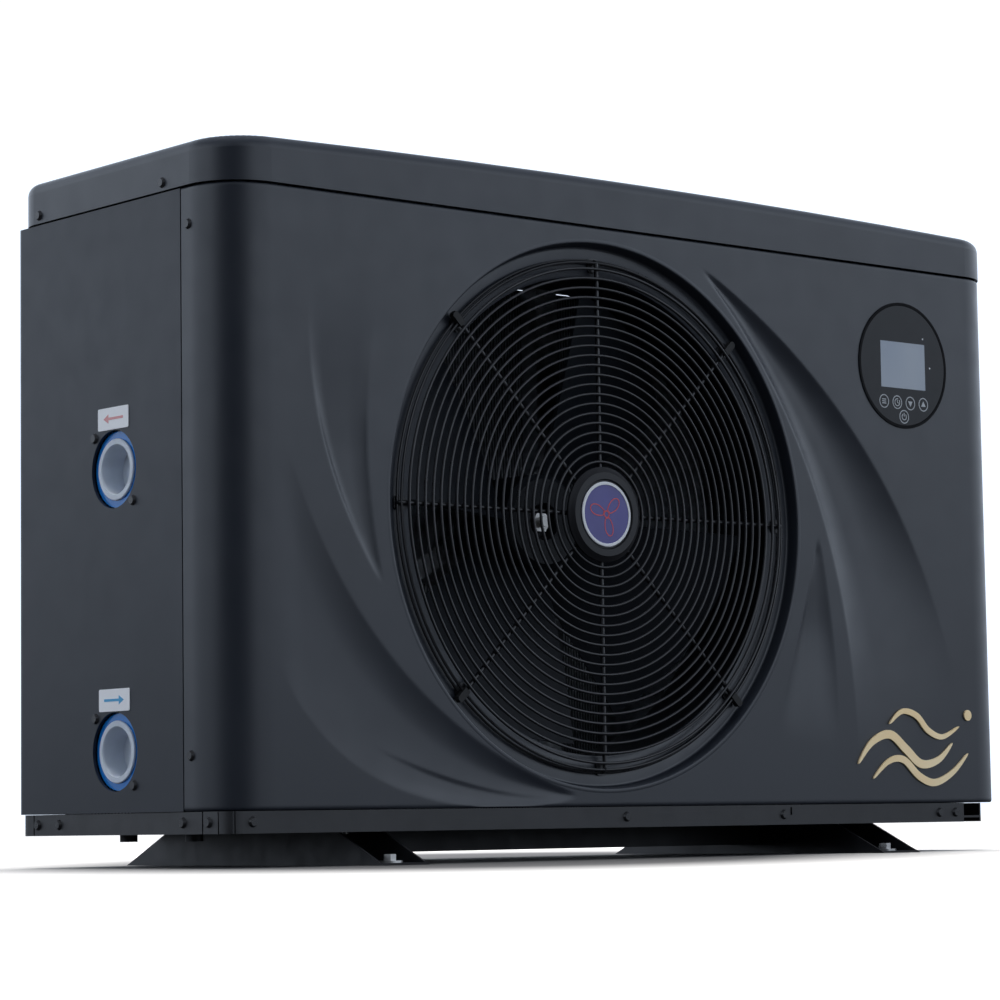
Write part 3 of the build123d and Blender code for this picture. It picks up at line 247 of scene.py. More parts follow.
def circuit(name):
    """Green solder mask with copper tracks and pads."""
    s = Shader(name, 0.35)
    tracks = s.voronoi(120, "DISTANCE_TO_EDGE")
    s.colour(s.mixed(s.spread(tracks, 0, 1, 0.02, 0.05), (0.24, 0.22, 0.08), (0.012, 0.10, 0.04)))
    s.rough(s.spread(s.noise(80, 3), 0.25, 0.5))
    s.bump([(tracks, 0.3, 0.0002)])
    return s.material


def gilded(name):
    """The gold finish of the emblem, slightly brushed."""
    s = Shader(name, 0.32, metallic=0.45)
    drawn = s.noise(1, 3, place=s.stretched((60, 60, 900)))
    s.colour(s.mixed(s.spread(s.noise(18, 3), 0, 1), (0.92, 0.68, 0.36), (1.0, 0.80, 0.50)))
    s.rough(s.spread(drawn, 0.28, 0.42))
    s.bump([(drawn, 0.08, 0.0001)])
    return s.material


def frosted(name, colour):
    """Milky polyethylene that lets some light through."""
    s = Shader(name, 0.34, Transmission_Weight=0.22, IOR=1.5, Subsurface_Weight=0.25)
    s.principled.inputs["Subsurface Radius"].default_value = (0.012, 0.012, 0.014)
    s.principled.inputs["Subsurface Scale"].default_value = 0.2
    s.colour(s.mixed(s.spread(s.noise(60, 3), 0, 1), shade(colour, 0.93), shade(colour, 1.04)))
    s.rough(s.spread(s.noise(120, 3), 0.28, 0.42))
    s.bump([(s.noise(700, 2), 0.12, 0.0001)])
    return s.material


def display(name):
    """An unlit LCD window behind clear film: cool grey, with a slow tilt in tone."""
    s = Shader(name, 0.10, Coat_Weight=0.5, Coat_Roughness=0.04)
    tilt = s.noise(1, 1, place=s.stretched((14, 1, 6)))
    s.colour(s.mixed(s.spread(tilt, 0, 1), (0.20, 0.25, 0.33), (0.29, 0.33, 0.38)))
    s.rough(s.spread(s.noise(90, 3), 0.08, 0.16))
    s.bump([(s.noise(30, 1), 0.03, 0.0005)])
    return s.material


FINISHES = {
    "case_plastic": moulded("case_plastic", (0.019, 0.0225, 0.0305), 0.34),
    "black_steel": coated("black_steel", (0.012, 0.012, 0.014), 0.42),
    "guard_wire": coated("guard_wire", (0.010, 0.010, 0.012), 0.30, 900),
    "black_plastic": moulded("black_plastic", (0.007, 0.007, 0.009), 0.40, Specular_IOR_Level=0.32),
    "fan_plastic": moulded("fan_plastic", (0.010, 0.012, 0.016), 0.46, 900, Specular_IOR_Level=0.22),
    "badge_print": lacquered("badge_print", (0.050, 0.043, 0.24)),
    "emblem_gold": gilded("emblem_gold"),
    "label_print": moulded("label_print", (0.93, 0.93, 0.94), 0.42, 2200, 0.05, 0.03),
    "union_blue": lacquered("union_blue", (0.010, 0.20, 0.62)),
    "cap_white": frosted("cap_white", (0.80, 0.86, 0.95)),
    "lens_black": lacquered("lens_black", (0.008, 0.009, 0.011), Specular_IOR_Level=0.2),
    "display_glass": display("display_glass"),
    "screw_black": coated("screw_black", (0.014, 0.014, 0.016), 0.26, 1600),
    "washer_steel": plated("washer_steel", (0.66, 0.65, 0.63), 0.28),
    "galvanised": spangled("galvanised"),
    "fin_aluminium": finned("fin_aluminium"),
    "copper": plated("copper", (0.80, 0.36, 0.19), 0.30, (60, 60, 700)),
    "compressor_paint": coated("compressor_paint", (0.014, 0.014, 0.015), 0.34),
    "pvc_grey": moulded("pvc_grey", (0.17, 0.18, 0.19), 0.40),
    "titanium": plated("titanium", (0.50, 0.47, 0.43), 0.36),
    "rubber_black": moulded("rubber_black", (0.012, 0.012, 0.012), 0.72, 500, 0.4),
    "board_green": circuit("board_green"),
}
PRINTS = {
    "white_ink": moulded("white_ink", (0.80, 0.81, 0.83), 0.40, 2200, 0.05, 0.03),
    "red_ink": moulded("red_ink", (0.62, 0.045, 0.055), 0.40, 2200, 0.05, 0.05),
    "blue_ink": moulded("blue_ink", (0.04, 0.36, 0.66), 0.40, 2200, 0.05, 0.05),
    "soft_red_ink": moulded("soft_red_ink", (0.72, 0.30, 0.30), 0.40, 2200, 0.05, 0.05),
    "grey_ink": moulded("grey_ink", (0.46, 0.48, 0.50), 0.40, 2200, 0.05, 0.05),
}
OWN_FINISHES = {
    "left_panel": moulded("side_sheet", (0.019, 0.0225, 0.0305), 0.36, Specular_IOR_Level=0.3),
    # the bezel is black plastic, made darker still as painted shade for the dark gap round the controller's disc
    "control_bezel": moulded("bezel_black_painted_gap_shade", (0.002, 0.002, 0.003), 0.6, Specular_IOR_Level=0.1),
}
for node, cad_object in NODES.items():
    cad_object.data.materials.clear()
    cad_object.data.materials.append(OWN_FINISHES.get(node) or FINISHES[SLOT_OF[node]])


# ---------------------------------------------------------------- building pieces
def piece(name, verts, faces, material, slot, body=CASING, replaces=(), smooth_angle=30):
    """A mesh piece that rides on a body, smooth except where its faces meet sharply."""
    mesh = bpy.data.meshes.new(name)
    mesh.from_pydata([tuple(v) for v in verts], [], faces)
    mesh.validate()
    mesh.materials.append(material)
    made = bpy.data.objects.new(name, mesh)
    bpy.context.scene.collection.objects.link(made)
    finish_piece(made, body, replaces, smooth_angle)
    return made


def finish_piece(made, body=CASING, replaces=(), smooth_angle=30):
    shade_smooth(made, smooth_angle)
    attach(made, body)
    if replaces:
        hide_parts(*replaces)


def shade_smooth(made, angle):
    made.data.shade_smooth()
    form = bmesh.new()
    form.from_mesh(made.data)
    bmesh.ops.recalc_face_normals(form, faces=form.faces)
    limit = radians(angle)
    for edge in form.edges:
        edge.smooth = len(edge.link_faces) == 2 and edge.calc_face_angle(0) < limit
    form.to_mesh(made.data)
    form.free()


def apply_modifiers(made):
    """Replace the piece's mesh by what its modifiers make of it."""
    bpy.context.view_layer.update()
    evaluated = made.evaluated_get(bpy.context.evaluated_depsgraph_get())
    mesh = bpy.data.meshes.new_from_object(evaluated)
    made.modifiers.clear()
    made.data = mesh


def joined(shapes):
    """One (verts, faces) pair from several."""
    verts, faces = [], []
    for more_verts, more_faces in shapes:
        start = len(verts)
        verts += list(more_verts)
        faces += [tuple(i + start for i in face) for face in more_faces]
    return verts, faces


def lathe(profile, centre, axis="y", steps=256, closed=True):
    """A profile of (radius, height) points turned about an axis through centre."""
    verts, faces = [], []
    for k in range(steps):
        angle = 2 * pi * k / steps
        for radius, height in profile:
            flat = (radius * cos(angle), radius * sin(angle))
            offset = (flat[0], height, flat[1]) if axis == "y" else (height, flat[0], flat[1])
            verts.append((centre[0] + offset[0], centre[1] + offset[1], centre[2] + offset[2]))
    count = len(profile)
    for k in range(steps):
        after = (k + 1) % steps
        for i in range(count if closed else count - 1):
            j = (i + 1) % count
            faces.append((k * count + i, k * count + j, after * count + j, after * count + i))
    return verts, faces


def tube(path, radius, sides=10, closed=False):
    """A round wire along a list of points."""
    points = [Vector(p) for p in path]
    verts, faces = [], []
    count = len(points)
    side = None
    for i, point in enumerate(points):
        before = points[i - 1] if (i or closed) else point
        after = points[(i + 1) % count] if (i < count - 1 or closed) else point
        run = (after - before).normalized()
        if side is None:
            side = run.orthogonal().normalized()
        side = (side - run * side.dot(run)).normalized()
        other = run.cross(side)
        for k in range(sides):
            angle = 2 * pi * k / sides
            verts.append(point + side * (radius * cos(angle)) + other * (radius * sin(angle)))
    for i in range(count if closed else count - 1):
        j = (i + 1) % count
        for k in range(sides):
            m = (k + 1) % sides
            faces.append((i * sides + k, i * sides + m, j * sides + m, j * sides + k))
    if not closed:
        faces.append(tuple(reversed(range(sides))))
        faces.append(tuple(range((count - 1) * sides, count * sides)))
    return verts, faces


def on_front(y):
    """Maps print coordinates (right, up) in metres to the front face's plane."""
    return lambda u, v: (u, y, v)


def on_left(x):
    """The same on the water-port side, whose right is -Y."""
    return lambda u, v: (x, -u, v)


def slab(outline, place, lift, outward):
    """A thin raised print with the given outline: its top, its sides and its back."""
    base = [Vector(place(u, v)) for u, v in outline]
    top = [p + Vector(outward) * lift for p in base]
    count = len(outline)
    faces = [tuple(range(count, 2 * count)), tuple(reversed(range(count)))]
    faces += [(i, (i + 1) % count, count + (i + 1) % count, count + i) for i in range(count)]
    return base + top, faces


def band(inner, outer, place, lift, outward):
    """A thin raised ring between two outlines with as many points each."""
    out = Vector(outward) * lift
    rows = [[Vector(place(u, v)) for u, v in line] for line in (inner, outer)]
    verts = rows[0] + rows[1] + [p + out for p in rows[0]] + [p + out for p in rows[1]]
    n = len(inner)
    faces = []
    for i in range(n):
        j = (i + 1) % n
        faces.append((2 * n + i, 2 * n + j, 3 * n + j, 3 * n + i))
        faces.append((n + i, n + j, j, i))
        faces.append((i, j, 2 * n + j, 2 * n + i))
        faces.append((3 * n + i, 3 * n + j, n + j, n + i))
    return verts, faces


def circle(x, z, radius, count=64):
    return [(x + radius * cos(2 * pi * k / count), z + radius * sin(2 * pi * k / count))
            for k in range(count)]


def stroke(path, widths, place, lift, outward):
    """A pen stroke: a flat ribbon along a path whose width changes."""
    left, right = [], []
    points = [Vector((u, v)) for u, v in path]
    for i, point in enumerate(points):
        run = (points[min(i + 1, len(points) - 1)] - points[max(i - 1, 0)]).normalized()
        side = Vector((-run.y, run.x)) * widths[i] / 2
        left.append(point + side)
        right.append(point - side)
    count = len(points)
    out = Vector(outward) * lift
    verts = []
    for row in (left, right):
        verts += [Vector(place(p.x, p.y)) for p in row]
    verts += [v + out for v in verts]
    faces = []
    for i in range(count - 1):
        a, b, c, d = i, i + 1, count + i + 1, count + i
        top = 2 * count
        faces.append((a + top, b + top, c + top, d + top))
        faces.append((d, c, b, a))
        faces.append((a, b, b + top, a + top))
        faces.append((d + top, c + top, c, d))
    faces.append((0, count, 3 * count, 2 * count))
    faces.append((count - 1, 3 * count - 1, 4 * count - 1, 2 * count - 1))
    return verts, faces


# ---------------------------------------------------------------- the front panel's relief
def smooth(value):
    value = np.clip(value, 0.0, 1.0)
    return value * value * (3 - 2 * value)


def crisp(value):
    """Rises steeply from a sharp edge and levels off."""
    return 1 - (1 - np.clip(value, 0.0, 1.0)) ** 2


class Scoop:
    """A long hollow that starts at a sharp tip and fades out at its open end.

    Its two edges leave the tip for their own ends, each as a parabola with the given bow.
    near_wall and far_wall give the walls' widths at the tip and at the open end,
    shares the parts of the hollow's width that they may take up. All are millimetres.
    """

    def __init__(self, tip, near, far, depth, near_wall, far_wall, length, fade,
                 shares=(0.5, 0.5)):
        self.tip = np.array(tip, float)
        (near_end, near_bow), (far_end, far_bow) = near, far
        end = (np.array(near_end, float) + np.array(far_end, float)) / 2
        self.along = (end - self.tip) / np.linalg.norm(end - self.tip)
        self.across = np.array([-self.along[1], self.along[0]])
        self.edges = [(*self.local(*near_end), near_bow), (*self.local(*far_end), far_bow)]
        self.depth, self.near_wall, self.far_wall = depth, near_wall, far_wall
        self.length, self.fade, self.shares = length, fade, shares

    def local(self, x, z):
        """A place as its distances along and across the hollow."""
        return ((x - self.tip[0]) * self.along[0] + (z - self.tip[1]) * self.along[1],
                (x - self.tip[0]) * self.across[0] + (z - self.tip[1]) * self.across[1])

    def edge(self, which, s):
        end_s, end_offset, bow = self.edges[which]
        t = s / end_s
        return end_offset * t + 4 * bow * t * (1 - t)

    def depth_at(self, x, z):
        s, d = self.local(x, z)
        near = self.edge(0, s)
        far = self.edge(1, s)
        width = np.maximum(np.abs(far - near), 1e-6)
        towards = np.sign(far - near)
        from_near = (d - near) * towards
        from_far = (far - d) * towards
        opened = np.clip(s / self.length, 0.0, 1.0)
        walls = [np.minimum(start + (end - start) * opened, share * width)
                 for (start, end), share in zip((self.near_wall, self.far_wall), self.shares)]
        hollow = crisp(from_near / walls[0]) * crisp(from_far / walls[1])
        ends = smooth(s / 20) * (1 - smooth((s - self.fade) / (self.length - self.fade)))
        narrow = smooth(width / 46) * 0.75 + 0.25 * smooth(width / 12)
        return_depth = self.depth * hollow * ends * narrow
        return np.where((s > 0) & (s < self.length), return_depth, 0.0)


SCOOPS = [
    # the leaf beside the fan, upper left
    Scoop((-310, 230), ((-385, 500), 28), ((-310, 500), 17),
          4.4, (7, 16), (12, 22), 270, 120),
    # the long one that hugs the fan at the lower left, its near edge towards the fan
    Scoop((-92, 55), ((-430, 405), 70), ((-455, 365), 145),
          3.2, (34, 60), (200, 200), 480, 250, shares=(0.34, 0.8)),
    # the thin crease along its outer edge
    Scoop((-98, 54), ((-335, 105), 13), ((-350, 85), 20),
          1.5, (3, 4), (30, 30), 240, 130),
    # the long one to the right of the fan
    Scoop((60, 542), ((258, 95), 54), ((410, 95), 74),
          6.8, (5, 50), (4, 90), 520, 300),
    # the short one below it
    Scoop((210, 302), ((150, 115), 3), ((232, 105), 6),
          3.8, (8, 20), (9, 26), 200, 80),
]
RELIEF_MARGIN = 30 * MM         # the relief fades out this close to the rounded corners


def relief(x, z):
    """How far the front face is let in at a place given in metres, in metres."""
    inside = smooth((HALF_X - CORNER_R - np.abs(x)) / RELIEF_MARGIN)
    return inside * sum(scoop.depth_at(x / MM, z / MM) for scoop in SCOOPS) * MM


def skin_columns():
    """(x, y, outward normal) round the front panel, from one return to the other."""
    columns = []
    straight = FACE_Y + CORNER_R
    for y in np.linspace(RETURN_Y, straight, 5)[:-1]:
        columns.append((-HALF_X, y, (-1.0, 0.0)))
    for angle in np.linspace(0, pi / 2, 27)[:-1]:
        normal = (-cos(angle), -sin(angle))
        columns.append((-HALF_X + CORNER_R + normal[0] * CORNER_R,
                        straight + normal[1] * CORNER_R, normal))
    flat = HALF_X - CORNER_R
    for x in np.linspace(-flat, flat, 501):
        columns.append((x, FACE_Y, (0.0, -1.0)))
    mirrored = [(-x, y, (-nx, ny)) for x, y, (nx, ny) in reversed(columns[:30])]
    return columns + mirrored


def front_skin():
    """The moulded front: one wrapped skin with its relief, then its openings."""
    rounding = ((0.0, 1.6), (0.35, 0.85), (1.0, 0.25), (2.2, 0.0))
    low = [(PANEL_LOW + up * MM, back * MM) for up, back in rounding]
    high = [(PANEL_HIGH - down * MM, back * MM) for down, back in reversed(rounding)]
    middle = [(z, 0.0) for z in np.linspace(low[-1][0], high[0][0], 300)[1:-1]]
    rows = low + middle + high
    columns = skin_columns()
    x = np.array([c[0] for c in columns])[None, :]
    z = np.array([r[0] for r in rows])[:, None]
    depth = relief(x + 0 * z, z + 0 * x)
    verts = []
    for r, (height, back) in enumerate(rows):
        for c, (px, py, normal) in enumerate(columns):
            inwards = back + (depth[r, c] if normal == (0.0, -1.0) else 0.0)
            verts.append((px - normal[0] * inwards, py - normal[1] * inwards, height))
    count = len(columns)
    faces = []
    for r in range(len(rows) - 1):
        for c in range(count - 1):
            a = r * count + c
            faces.append((a, a + 1, a + count + 1, a + count))
    mesh = bpy.data.meshes.new("front_skin")
    mesh.from_pydata(verts, [], faces)
    mesh.materials.append(FINISHES["case_plastic"])
    skin = bpy.data.objects.new("front_skin", mesh)
    bpy.context.scene.collection.objects.link(skin)
    solid = skin.modifiers.new("wall", "SOLIDIFY")
    solid.thickness = SKIN
    solid.offset = -1
    cutters = [cutter("fan_cutter", FAN_X, FAN_Z, RECESS_R + 4 * MM, 360),
               cutter("control_cutter", CONTROL_X, CONTROL_Z, CONTROL_R - 1.9 * MM, 180)]
    for tool in cutters:
        cut = skin.modifiers.new(tool.name, "BOOLEAN")
        cut.object = tool
        cut.operation = "DIFFERENCE"
        cut.solver = "EXACT"
    apply_modifiers(skin)
    for tool in cutters:
        bpy.data.objects.remove(tool)
    return skin


def cutter(name, x, z, radius, count):
    """A closed drum that cuts a round hole through the front panel."""
    verts, faces = slab(circle(x, z, radius, count), on_front(FACE_Y + 30 * MM), 60 * MM, (0, -1, 0))
    mesh = bpy.data.meshes.new(name)
    mesh.from_pydata([tuple(v) for v in verts], [], faces)
    made = bpy.data.objects.new(name, mesh)
    bpy.context.scene.collection.objects.link(made)
    return made


def recess_ring():
    """The rounded edge, the steep wall and the floor of the fan's recess."""
    profile = [
        (RECESS_R + 6.5 * MM, FACE_Y + 0.9 * MM),
        (RECESS_R + 4.4 * MM, FACE_Y + 0.02 * MM),
        (RECESS_R + 1.2 * MM, FACE_Y),
        (RECESS_R + 0.5 * MM, FACE_Y + 0.15 * MM),
        (RECESS_R + 0.1 * MM, FACE_Y + 0.7 * MM),
        (RECESS_R - 0.1 * MM, FACE_Y + 1.6 * MM),
        (RECESS_FLOOR_R + 0.4 * MM, RECESS_Y - 1.8 * MM),
        (RECESS_FLOOR_R - 0.1 * MM, RECESS_Y - 0.7 * MM),
        (RECESS_FLOOR_R - 1.2 * MM, RECESS_Y - 0.1 * MM),
        (RECESS_FLOOR_R - 2.4 * MM, RECESS_Y),
        (THROAT_R + 1.5 * MM, RECESS_Y),
        (THROAT_R + 0.3 * MM, RECESS_Y + 0.5 * MM),
        (THROAT_R, RECESS_Y + 1.6 * MM),
        (THROAT_R, RECESS_Y + SKIN),
        (RECESS_FLOOR_R + 3 * MM, RECESS_Y + SKIN),
        (RECESS_R + 3 * MM, FACE_Y + SKIN),
        (RECESS_R + 6.5 * MM, FACE_Y + SKIN),
    ]
    return lathe(profile, (FAN_X, 0, FAN_Z), steps=360)


skin = front_skin()
finish_piece(skin, replaces=["front_panel"], smooth_angle=32)
ring_verts, ring_faces = recess_ring()
piece("front_recess", ring_verts, ring_faces, FINISHES["case_plastic"], "case_plastic", smooth_angle=50)


# ---------------------------------------------------------------- fan guard details
def guard_side():
    """Two rings on the guard's side."""
    shapes = []
    for radius, y in ((GUARD_R + 4.6 * MM, GUARD_Y + 3.2 * MM), (GUARD_R + 6.8 * MM, GUARD_Y + 6.6 * MM)):
        path = [(FAN_X + radius * cos(2 * pi * k / 240), y, FAN_Z + radius * sin(2 * pi * k / 240))
                for k in range(240)]
        shapes.append(tube(path, 1.3 * MM, 8, closed=True))
    return joined(shapes)


verts, faces = guard_side()
piece("guard_side_rings", verts, faces, FINISHES["guard_wire"], "guard_wire")


def clips():
    """Folded tabs that hold the guard to the recess at every second spoke."""
    shapes = []
    for k in range(4):
        angle = 2 * pi * (k + 0.5) / 4
        out = Vector((cos(angle), 0, sin(angle)))
        side = Vector((-sin(angle), 0, cos(angle)))
        centre = Vector((FAN_X, 0, FAN_Z))
        outline = [(-5, -3.2), (7, -3.2), (8.6, -1.8), (8.6, 1.8), (7, 3.2), (-5, 3.2)]
        place = lambda u, v: centre + out * (GUARD_R + 6.5 * MM + u) + side * v + Vector((0, RECESS_Y - 3.6 * MM, 0))
        shapes.append(slab([(u * MM, v * MM) for u, v in outline], place, 5.5 * MM, (0, -1, 0)))
    return joined(shapes)


verts, faces = clips()
piece("guard_clips", verts, faces, FINISHES["rubber_black"], "guard_wire")


# ---------------------------------------------------------------- hub badge
def blade_outline(turn):
    """One blade of the pictogram, as a closed loop of (right, up) points."""
    points = []
    for k in range(24):
        t = k / 23
        angle = turn + radians(-8 + 62 * t)
        points.append((angle, 4.2 + 15.5 * sin(pi * t) ** 0.8))
    return [(FAN_X + r * MM * cos(a), FAN_Z + r * MM * sin(a)) for a, r in points]


badge_face_y = badge_low.y
disc = lathe(
    [(1e-5, badge_face_y), (BADGE_R - 3.0 * MM, badge_face_y), (BADGE_R - 2.6 * MM, badge_face_y - 0.25 * MM),
     (BADGE_R - 0.6 * MM, badge_face_y - 0.25 * MM), (BADGE_R, badge_face_y + 0.2 * MM),
     (BADGE_R, badge_high.y), (1e-5, badge_high.y)],
    (FAN_X, 0, FAN_Z), steps=128)
badge = piece("badge_disc", *disc, FINISHES["badge_print"], "badge_print", replaces=["hub_badge"])
rim = lathe(
    [(BADGE_R - 2.8 * MM, badge_face_y - 0.05 * MM), (BADGE_R - 2.6 * MM, badge_face_y - 0.45 * MM),
     (BADGE_R - 0.5 * MM, badge_face_y - 0.45 * MM), (BADGE_R + 0.1 * MM, badge_face_y + 0.1 * MM),
     (BADGE_R + 0.1 * MM, badge_face_y + 0.3 * MM)],
    (FAN_X, 0, FAN_Z), steps=128)
piece("badge_rim", *rim, PRINTS["white_ink"], "label_print")
pictogram = []
for k in range(3):
    loop = blade_outline(2 * pi * k / 3 + radians(20))
    path = loop + [loop[0]]
    pictogram.append(stroke(path, [0.9 * MM] * len(path), on_front(badge_face_y - 0.02 * MM), 0.12 * MM, (0, -1, 0)))
pictogram.append(band(circle(FAN_X, FAN_Z, 2.4 * MM), circle(FAN_X, FAN_Z, 3.4 * MM),
                      on_front(badge_face_y - 0.02 * MM), 0.12 * MM, (0, -1, 0)))
piece("badge_pictogram", *joined(pictogram), PRINTS["red_ink"], "badge_print")


# ---------------------------------------------------------------- controller print
LENS_Y = lens_low.y
LCD_HALF_W, LCD_HALF_H = 31 * MM, 22.5 * MM
lcd_outline = [(CONTROL_X + side * LCD_HALF_W, CONTROL_Z + rise * LCD_HALF_H)
               for side, rise in ((-1, -1), (1, -1), (1, 1), (-1, 1))]
piece("lcd_window", *slab(lcd_outline, on_front(LENS_Y), 0.15 * MM, (0, -1, 0)),
      FINISHES["display_glass"], "display_glass")

KEY_R = 6.6 * MM
KEY_PITCH = 18.4                # millimetres, as are the drops below the controller's middle
KEY_DROP = 36.4
POWER_DROP = 50
KEYS = {key: (CONTROL_X / MM + (place - 1.5) * KEY_PITCH, CONTROL_Z / MM - KEY_DROP)
        for place, key in enumerate(("menu", "clock", "down", "up"))}
KEYS["power"] = (CONTROL_X / MM, CONTROL_Z / MM - POWER_DROP)
INDICATORS = ((29, 28), (38, 0))
print_place = on_front(LENS_Y)
symbols = []
for x, z in KEYS.values():
    symbols.append(band(circle(x * MM, z * MM, KEY_R - 0.9 * MM), circle(x * MM, z * MM, KEY_R),
                        print_place, 0.12 * MM, (0, -1, 0)))


def symbol(key, outline):
    x, z = KEYS[key]
    points = [((x + u) * MM, (z + v) * MM) for u, v in outline]
    symbols.append(slab(points, print_place, 0.12 * MM, (0, -1, 0)))


def symbol_line(key, path, width=0.9):
    x, z = KEYS[key]
    points = [((x + u) * MM, (z + v) * MM) for u, v in path]
    symbols.append(stroke(points, [width * MM] * len(points), print_place, 0.12 * MM, (0, -1, 0)))


symbol("up", [(-3.2, -2.0), (3.2, -2.0), (0, 3.3)])
symbol("down", [(-3.2, 2.0), (0, -3.3), (3.2, 2.0)])
for rise in (-1.9, 0, 1.9):
    symbol_line("menu", [(-2.8, rise), (2.8, rise)])
symbol_line("clock", [(3.4 * cos(radians(a)), 3.4 * sin(radians(a))) for a in range(70, 401, 15)])
symbol_line("clock", [(0, 2.2), (0, 0), (1.7, -0.9)])
symbol_line("power", [(3.0 * cos(radians(a)), 3.0 * sin(radians(a))) for a in range(125, 416, 15)])
symbol_line("power", [(0, 0.4), (0, 3.8)])
piece("key_print", *joined(symbols), PRINTS["grey_ink"], "label_print")
symbols = [slab(circle(CONTROL_X + x * MM, CONTROL_Z + z * MM, 0.9 * MM, 16), print_place, 0.12 * MM, (0, -1, 0))
           for x, z in INDICATORS]
piece("indicator_dots", *joined(symbols), PRINTS["white_ink"], "label_print")


# ---------------------------------------------------------------- port labels
label_x = labels_low.x
label_middle_y = (labels_low.y + labels_high.y) / 2
label_half_h = 9.5 * MM
for name, z, ink, heading in (
    ("outlet_arrow", labels_high.z - label_half_h, "soft_red_ink", -1),
    ("inlet_arrow", labels_low.z + label_half_h, "blue_ink", 1),
):
    place = on_left(label_x)
    middle = -label_middle_y
    marks = []
    arrow = [(-15, -1.1), (7, -1.1), (7, -4.0), (14.5, 0), (7, 4.0), (7, 1.1), (-15, 1.1)]
    marks.append(slab([(middle + heading * u * MM, z + v * MM) for u, v in arrow][::heading],
                      place, 0.1 * MM, (-1, 0, 0)))
    piece(name, *joined(marks), PRINTS[ink], "label_print")


# ---------------------------------------------------------------- emblem
def pen(points, widest, steps=40):
    """A smooth pen stroke through points, thin at both ends."""
    known = np.array(points, float)
    t = np.linspace(0, 1, len(known))
    fine = np.linspace(0, 1, steps)
    path = []
    for f in fine:
        i = min(int(f * (len(known) - 1)), len(known) - 2)
        local = f * (len(known) - 1) - i
        p0, p1 = known[max(i - 1, 0)], known[i]
        p2, p3 = known[i + 1], known[min(i + 2, len(known) - 1)]
        path.append(0.5 * (2 * p1 + (p2 - p0) * local + (2 * p0 - 5 * p1 + 4 * p2 - p3) * local**2
                           + (3 * p1 - p0 - 3 * p2 + p3) * local**3) * MM)
    widths = [(widest * max(sin(pi * f), 0.0) ** 0.6 + 0.5) * MM for f in fine]
    return [(p[0], p[1]) for p in path], widths


emblem = []
for points, widest in (
    ([(256, 84), (275, 104), (300, 112), (322, 98), (343, 84), (368, 88), (388, 104)], 8.5),
    ([(276, 70), (297, 86), (318, 88), (340, 72), (362, 66), (388, 76), (410, 94)], 7.0),
    ([(300, 122), (318, 134), (338, 130), (354, 116), (374, 110), (398, 120)], 6.0),
):
    path, widths = pen(points, widest)
    emblem.append(stroke(path, widths, on_front(FACE_Y), 1.6 * MM, (0, -1, 0)))
emblem.append(slab(circle(411 * MM, 131 * MM, 5.2 * MM, 32), on_front(FACE_Y), 1.6 * MM, (0, -1, 0)))
piece("emblem_waves", *joined(emblem), FINISHES["emblem_gold"], "emblem_gold", replaces=["front_emblem"])

# ---------------------------------------------------------------- stage, light and camera
PAINTED_SHADE_MIDDLE = (-0.061, 0.052, 0.0)
PAINTED_SHADE_TURN = radians(-40.3)
PAINTED_SHADE_REACH = (0.50, 0.95, 1.0)     # the half axes of the painted shade round the unit
PAINTED_SHADE_RIM = (0.55, 1.0)             # it fades out between these parts of its reach


def floor_paper():
    """White paper that gives little light back, with a soft oval shadow painted into its colour under the unit."""
    s = Shader("floor_paper", 0.9)
    oval = s.tree.nodes.new("ShaderNodeMapping")
    oval.vector_type = "TEXTURE"
    oval.inputs["Location"].default_value = PAINTED_SHADE_MIDDLE
    oval.inputs["Rotation"].default_value = (0.0, 0.0, PAINTED_SHADE_TURN)
    oval.inputs["Scale"].default_value = PAINTED_SHADE_REACH
    s.link(s.place, oval.inputs["Vector"])
    away = s.tree.nodes.new("ShaderNodeVectorMath")
    away.operation = "LENGTH"
    s.link(oval.outputs["Vector"], away.inputs[0])
    # painted shade: the floor's colour darkens inside the oval round the unit
    outside_painted_shade = s.spread(away.outputs["Value"], 0, 1, *PAINTED_SHADE_RIM)
    paper = s.mixed(outside_painted_shade, (0.13, 0.125, 0.122), (0.92, 0.88, 0.84))
    path = s.tree.nodes.new("ShaderNodeLightPath")
    s.colour(s.mixed(path.outputs["Is Camera Ray"], (0.04, 0.04, 0.042), paper))
    return s.material


floor_mesh = bpy.data.meshes.new("floor")
FLOOR_SIZE = 60.0
floor_mesh.from_pydata([(-FLOOR_SIZE, -FLOOR_SIZE, 0), (FLOOR_SIZE, -FLOOR_SIZE, 0),
                        (FLOOR_SIZE, FLOOR_SIZE, 0), (-FLOOR_SIZE, FLOOR_SIZE, 0)], [], [(0, 1, 2, 3)])
floor = bpy.data.objects.new("floor", floor_mesh)
bpy.context.scene.collection.objects.link(floor)
floor_mesh.materials.append(floor_paper())

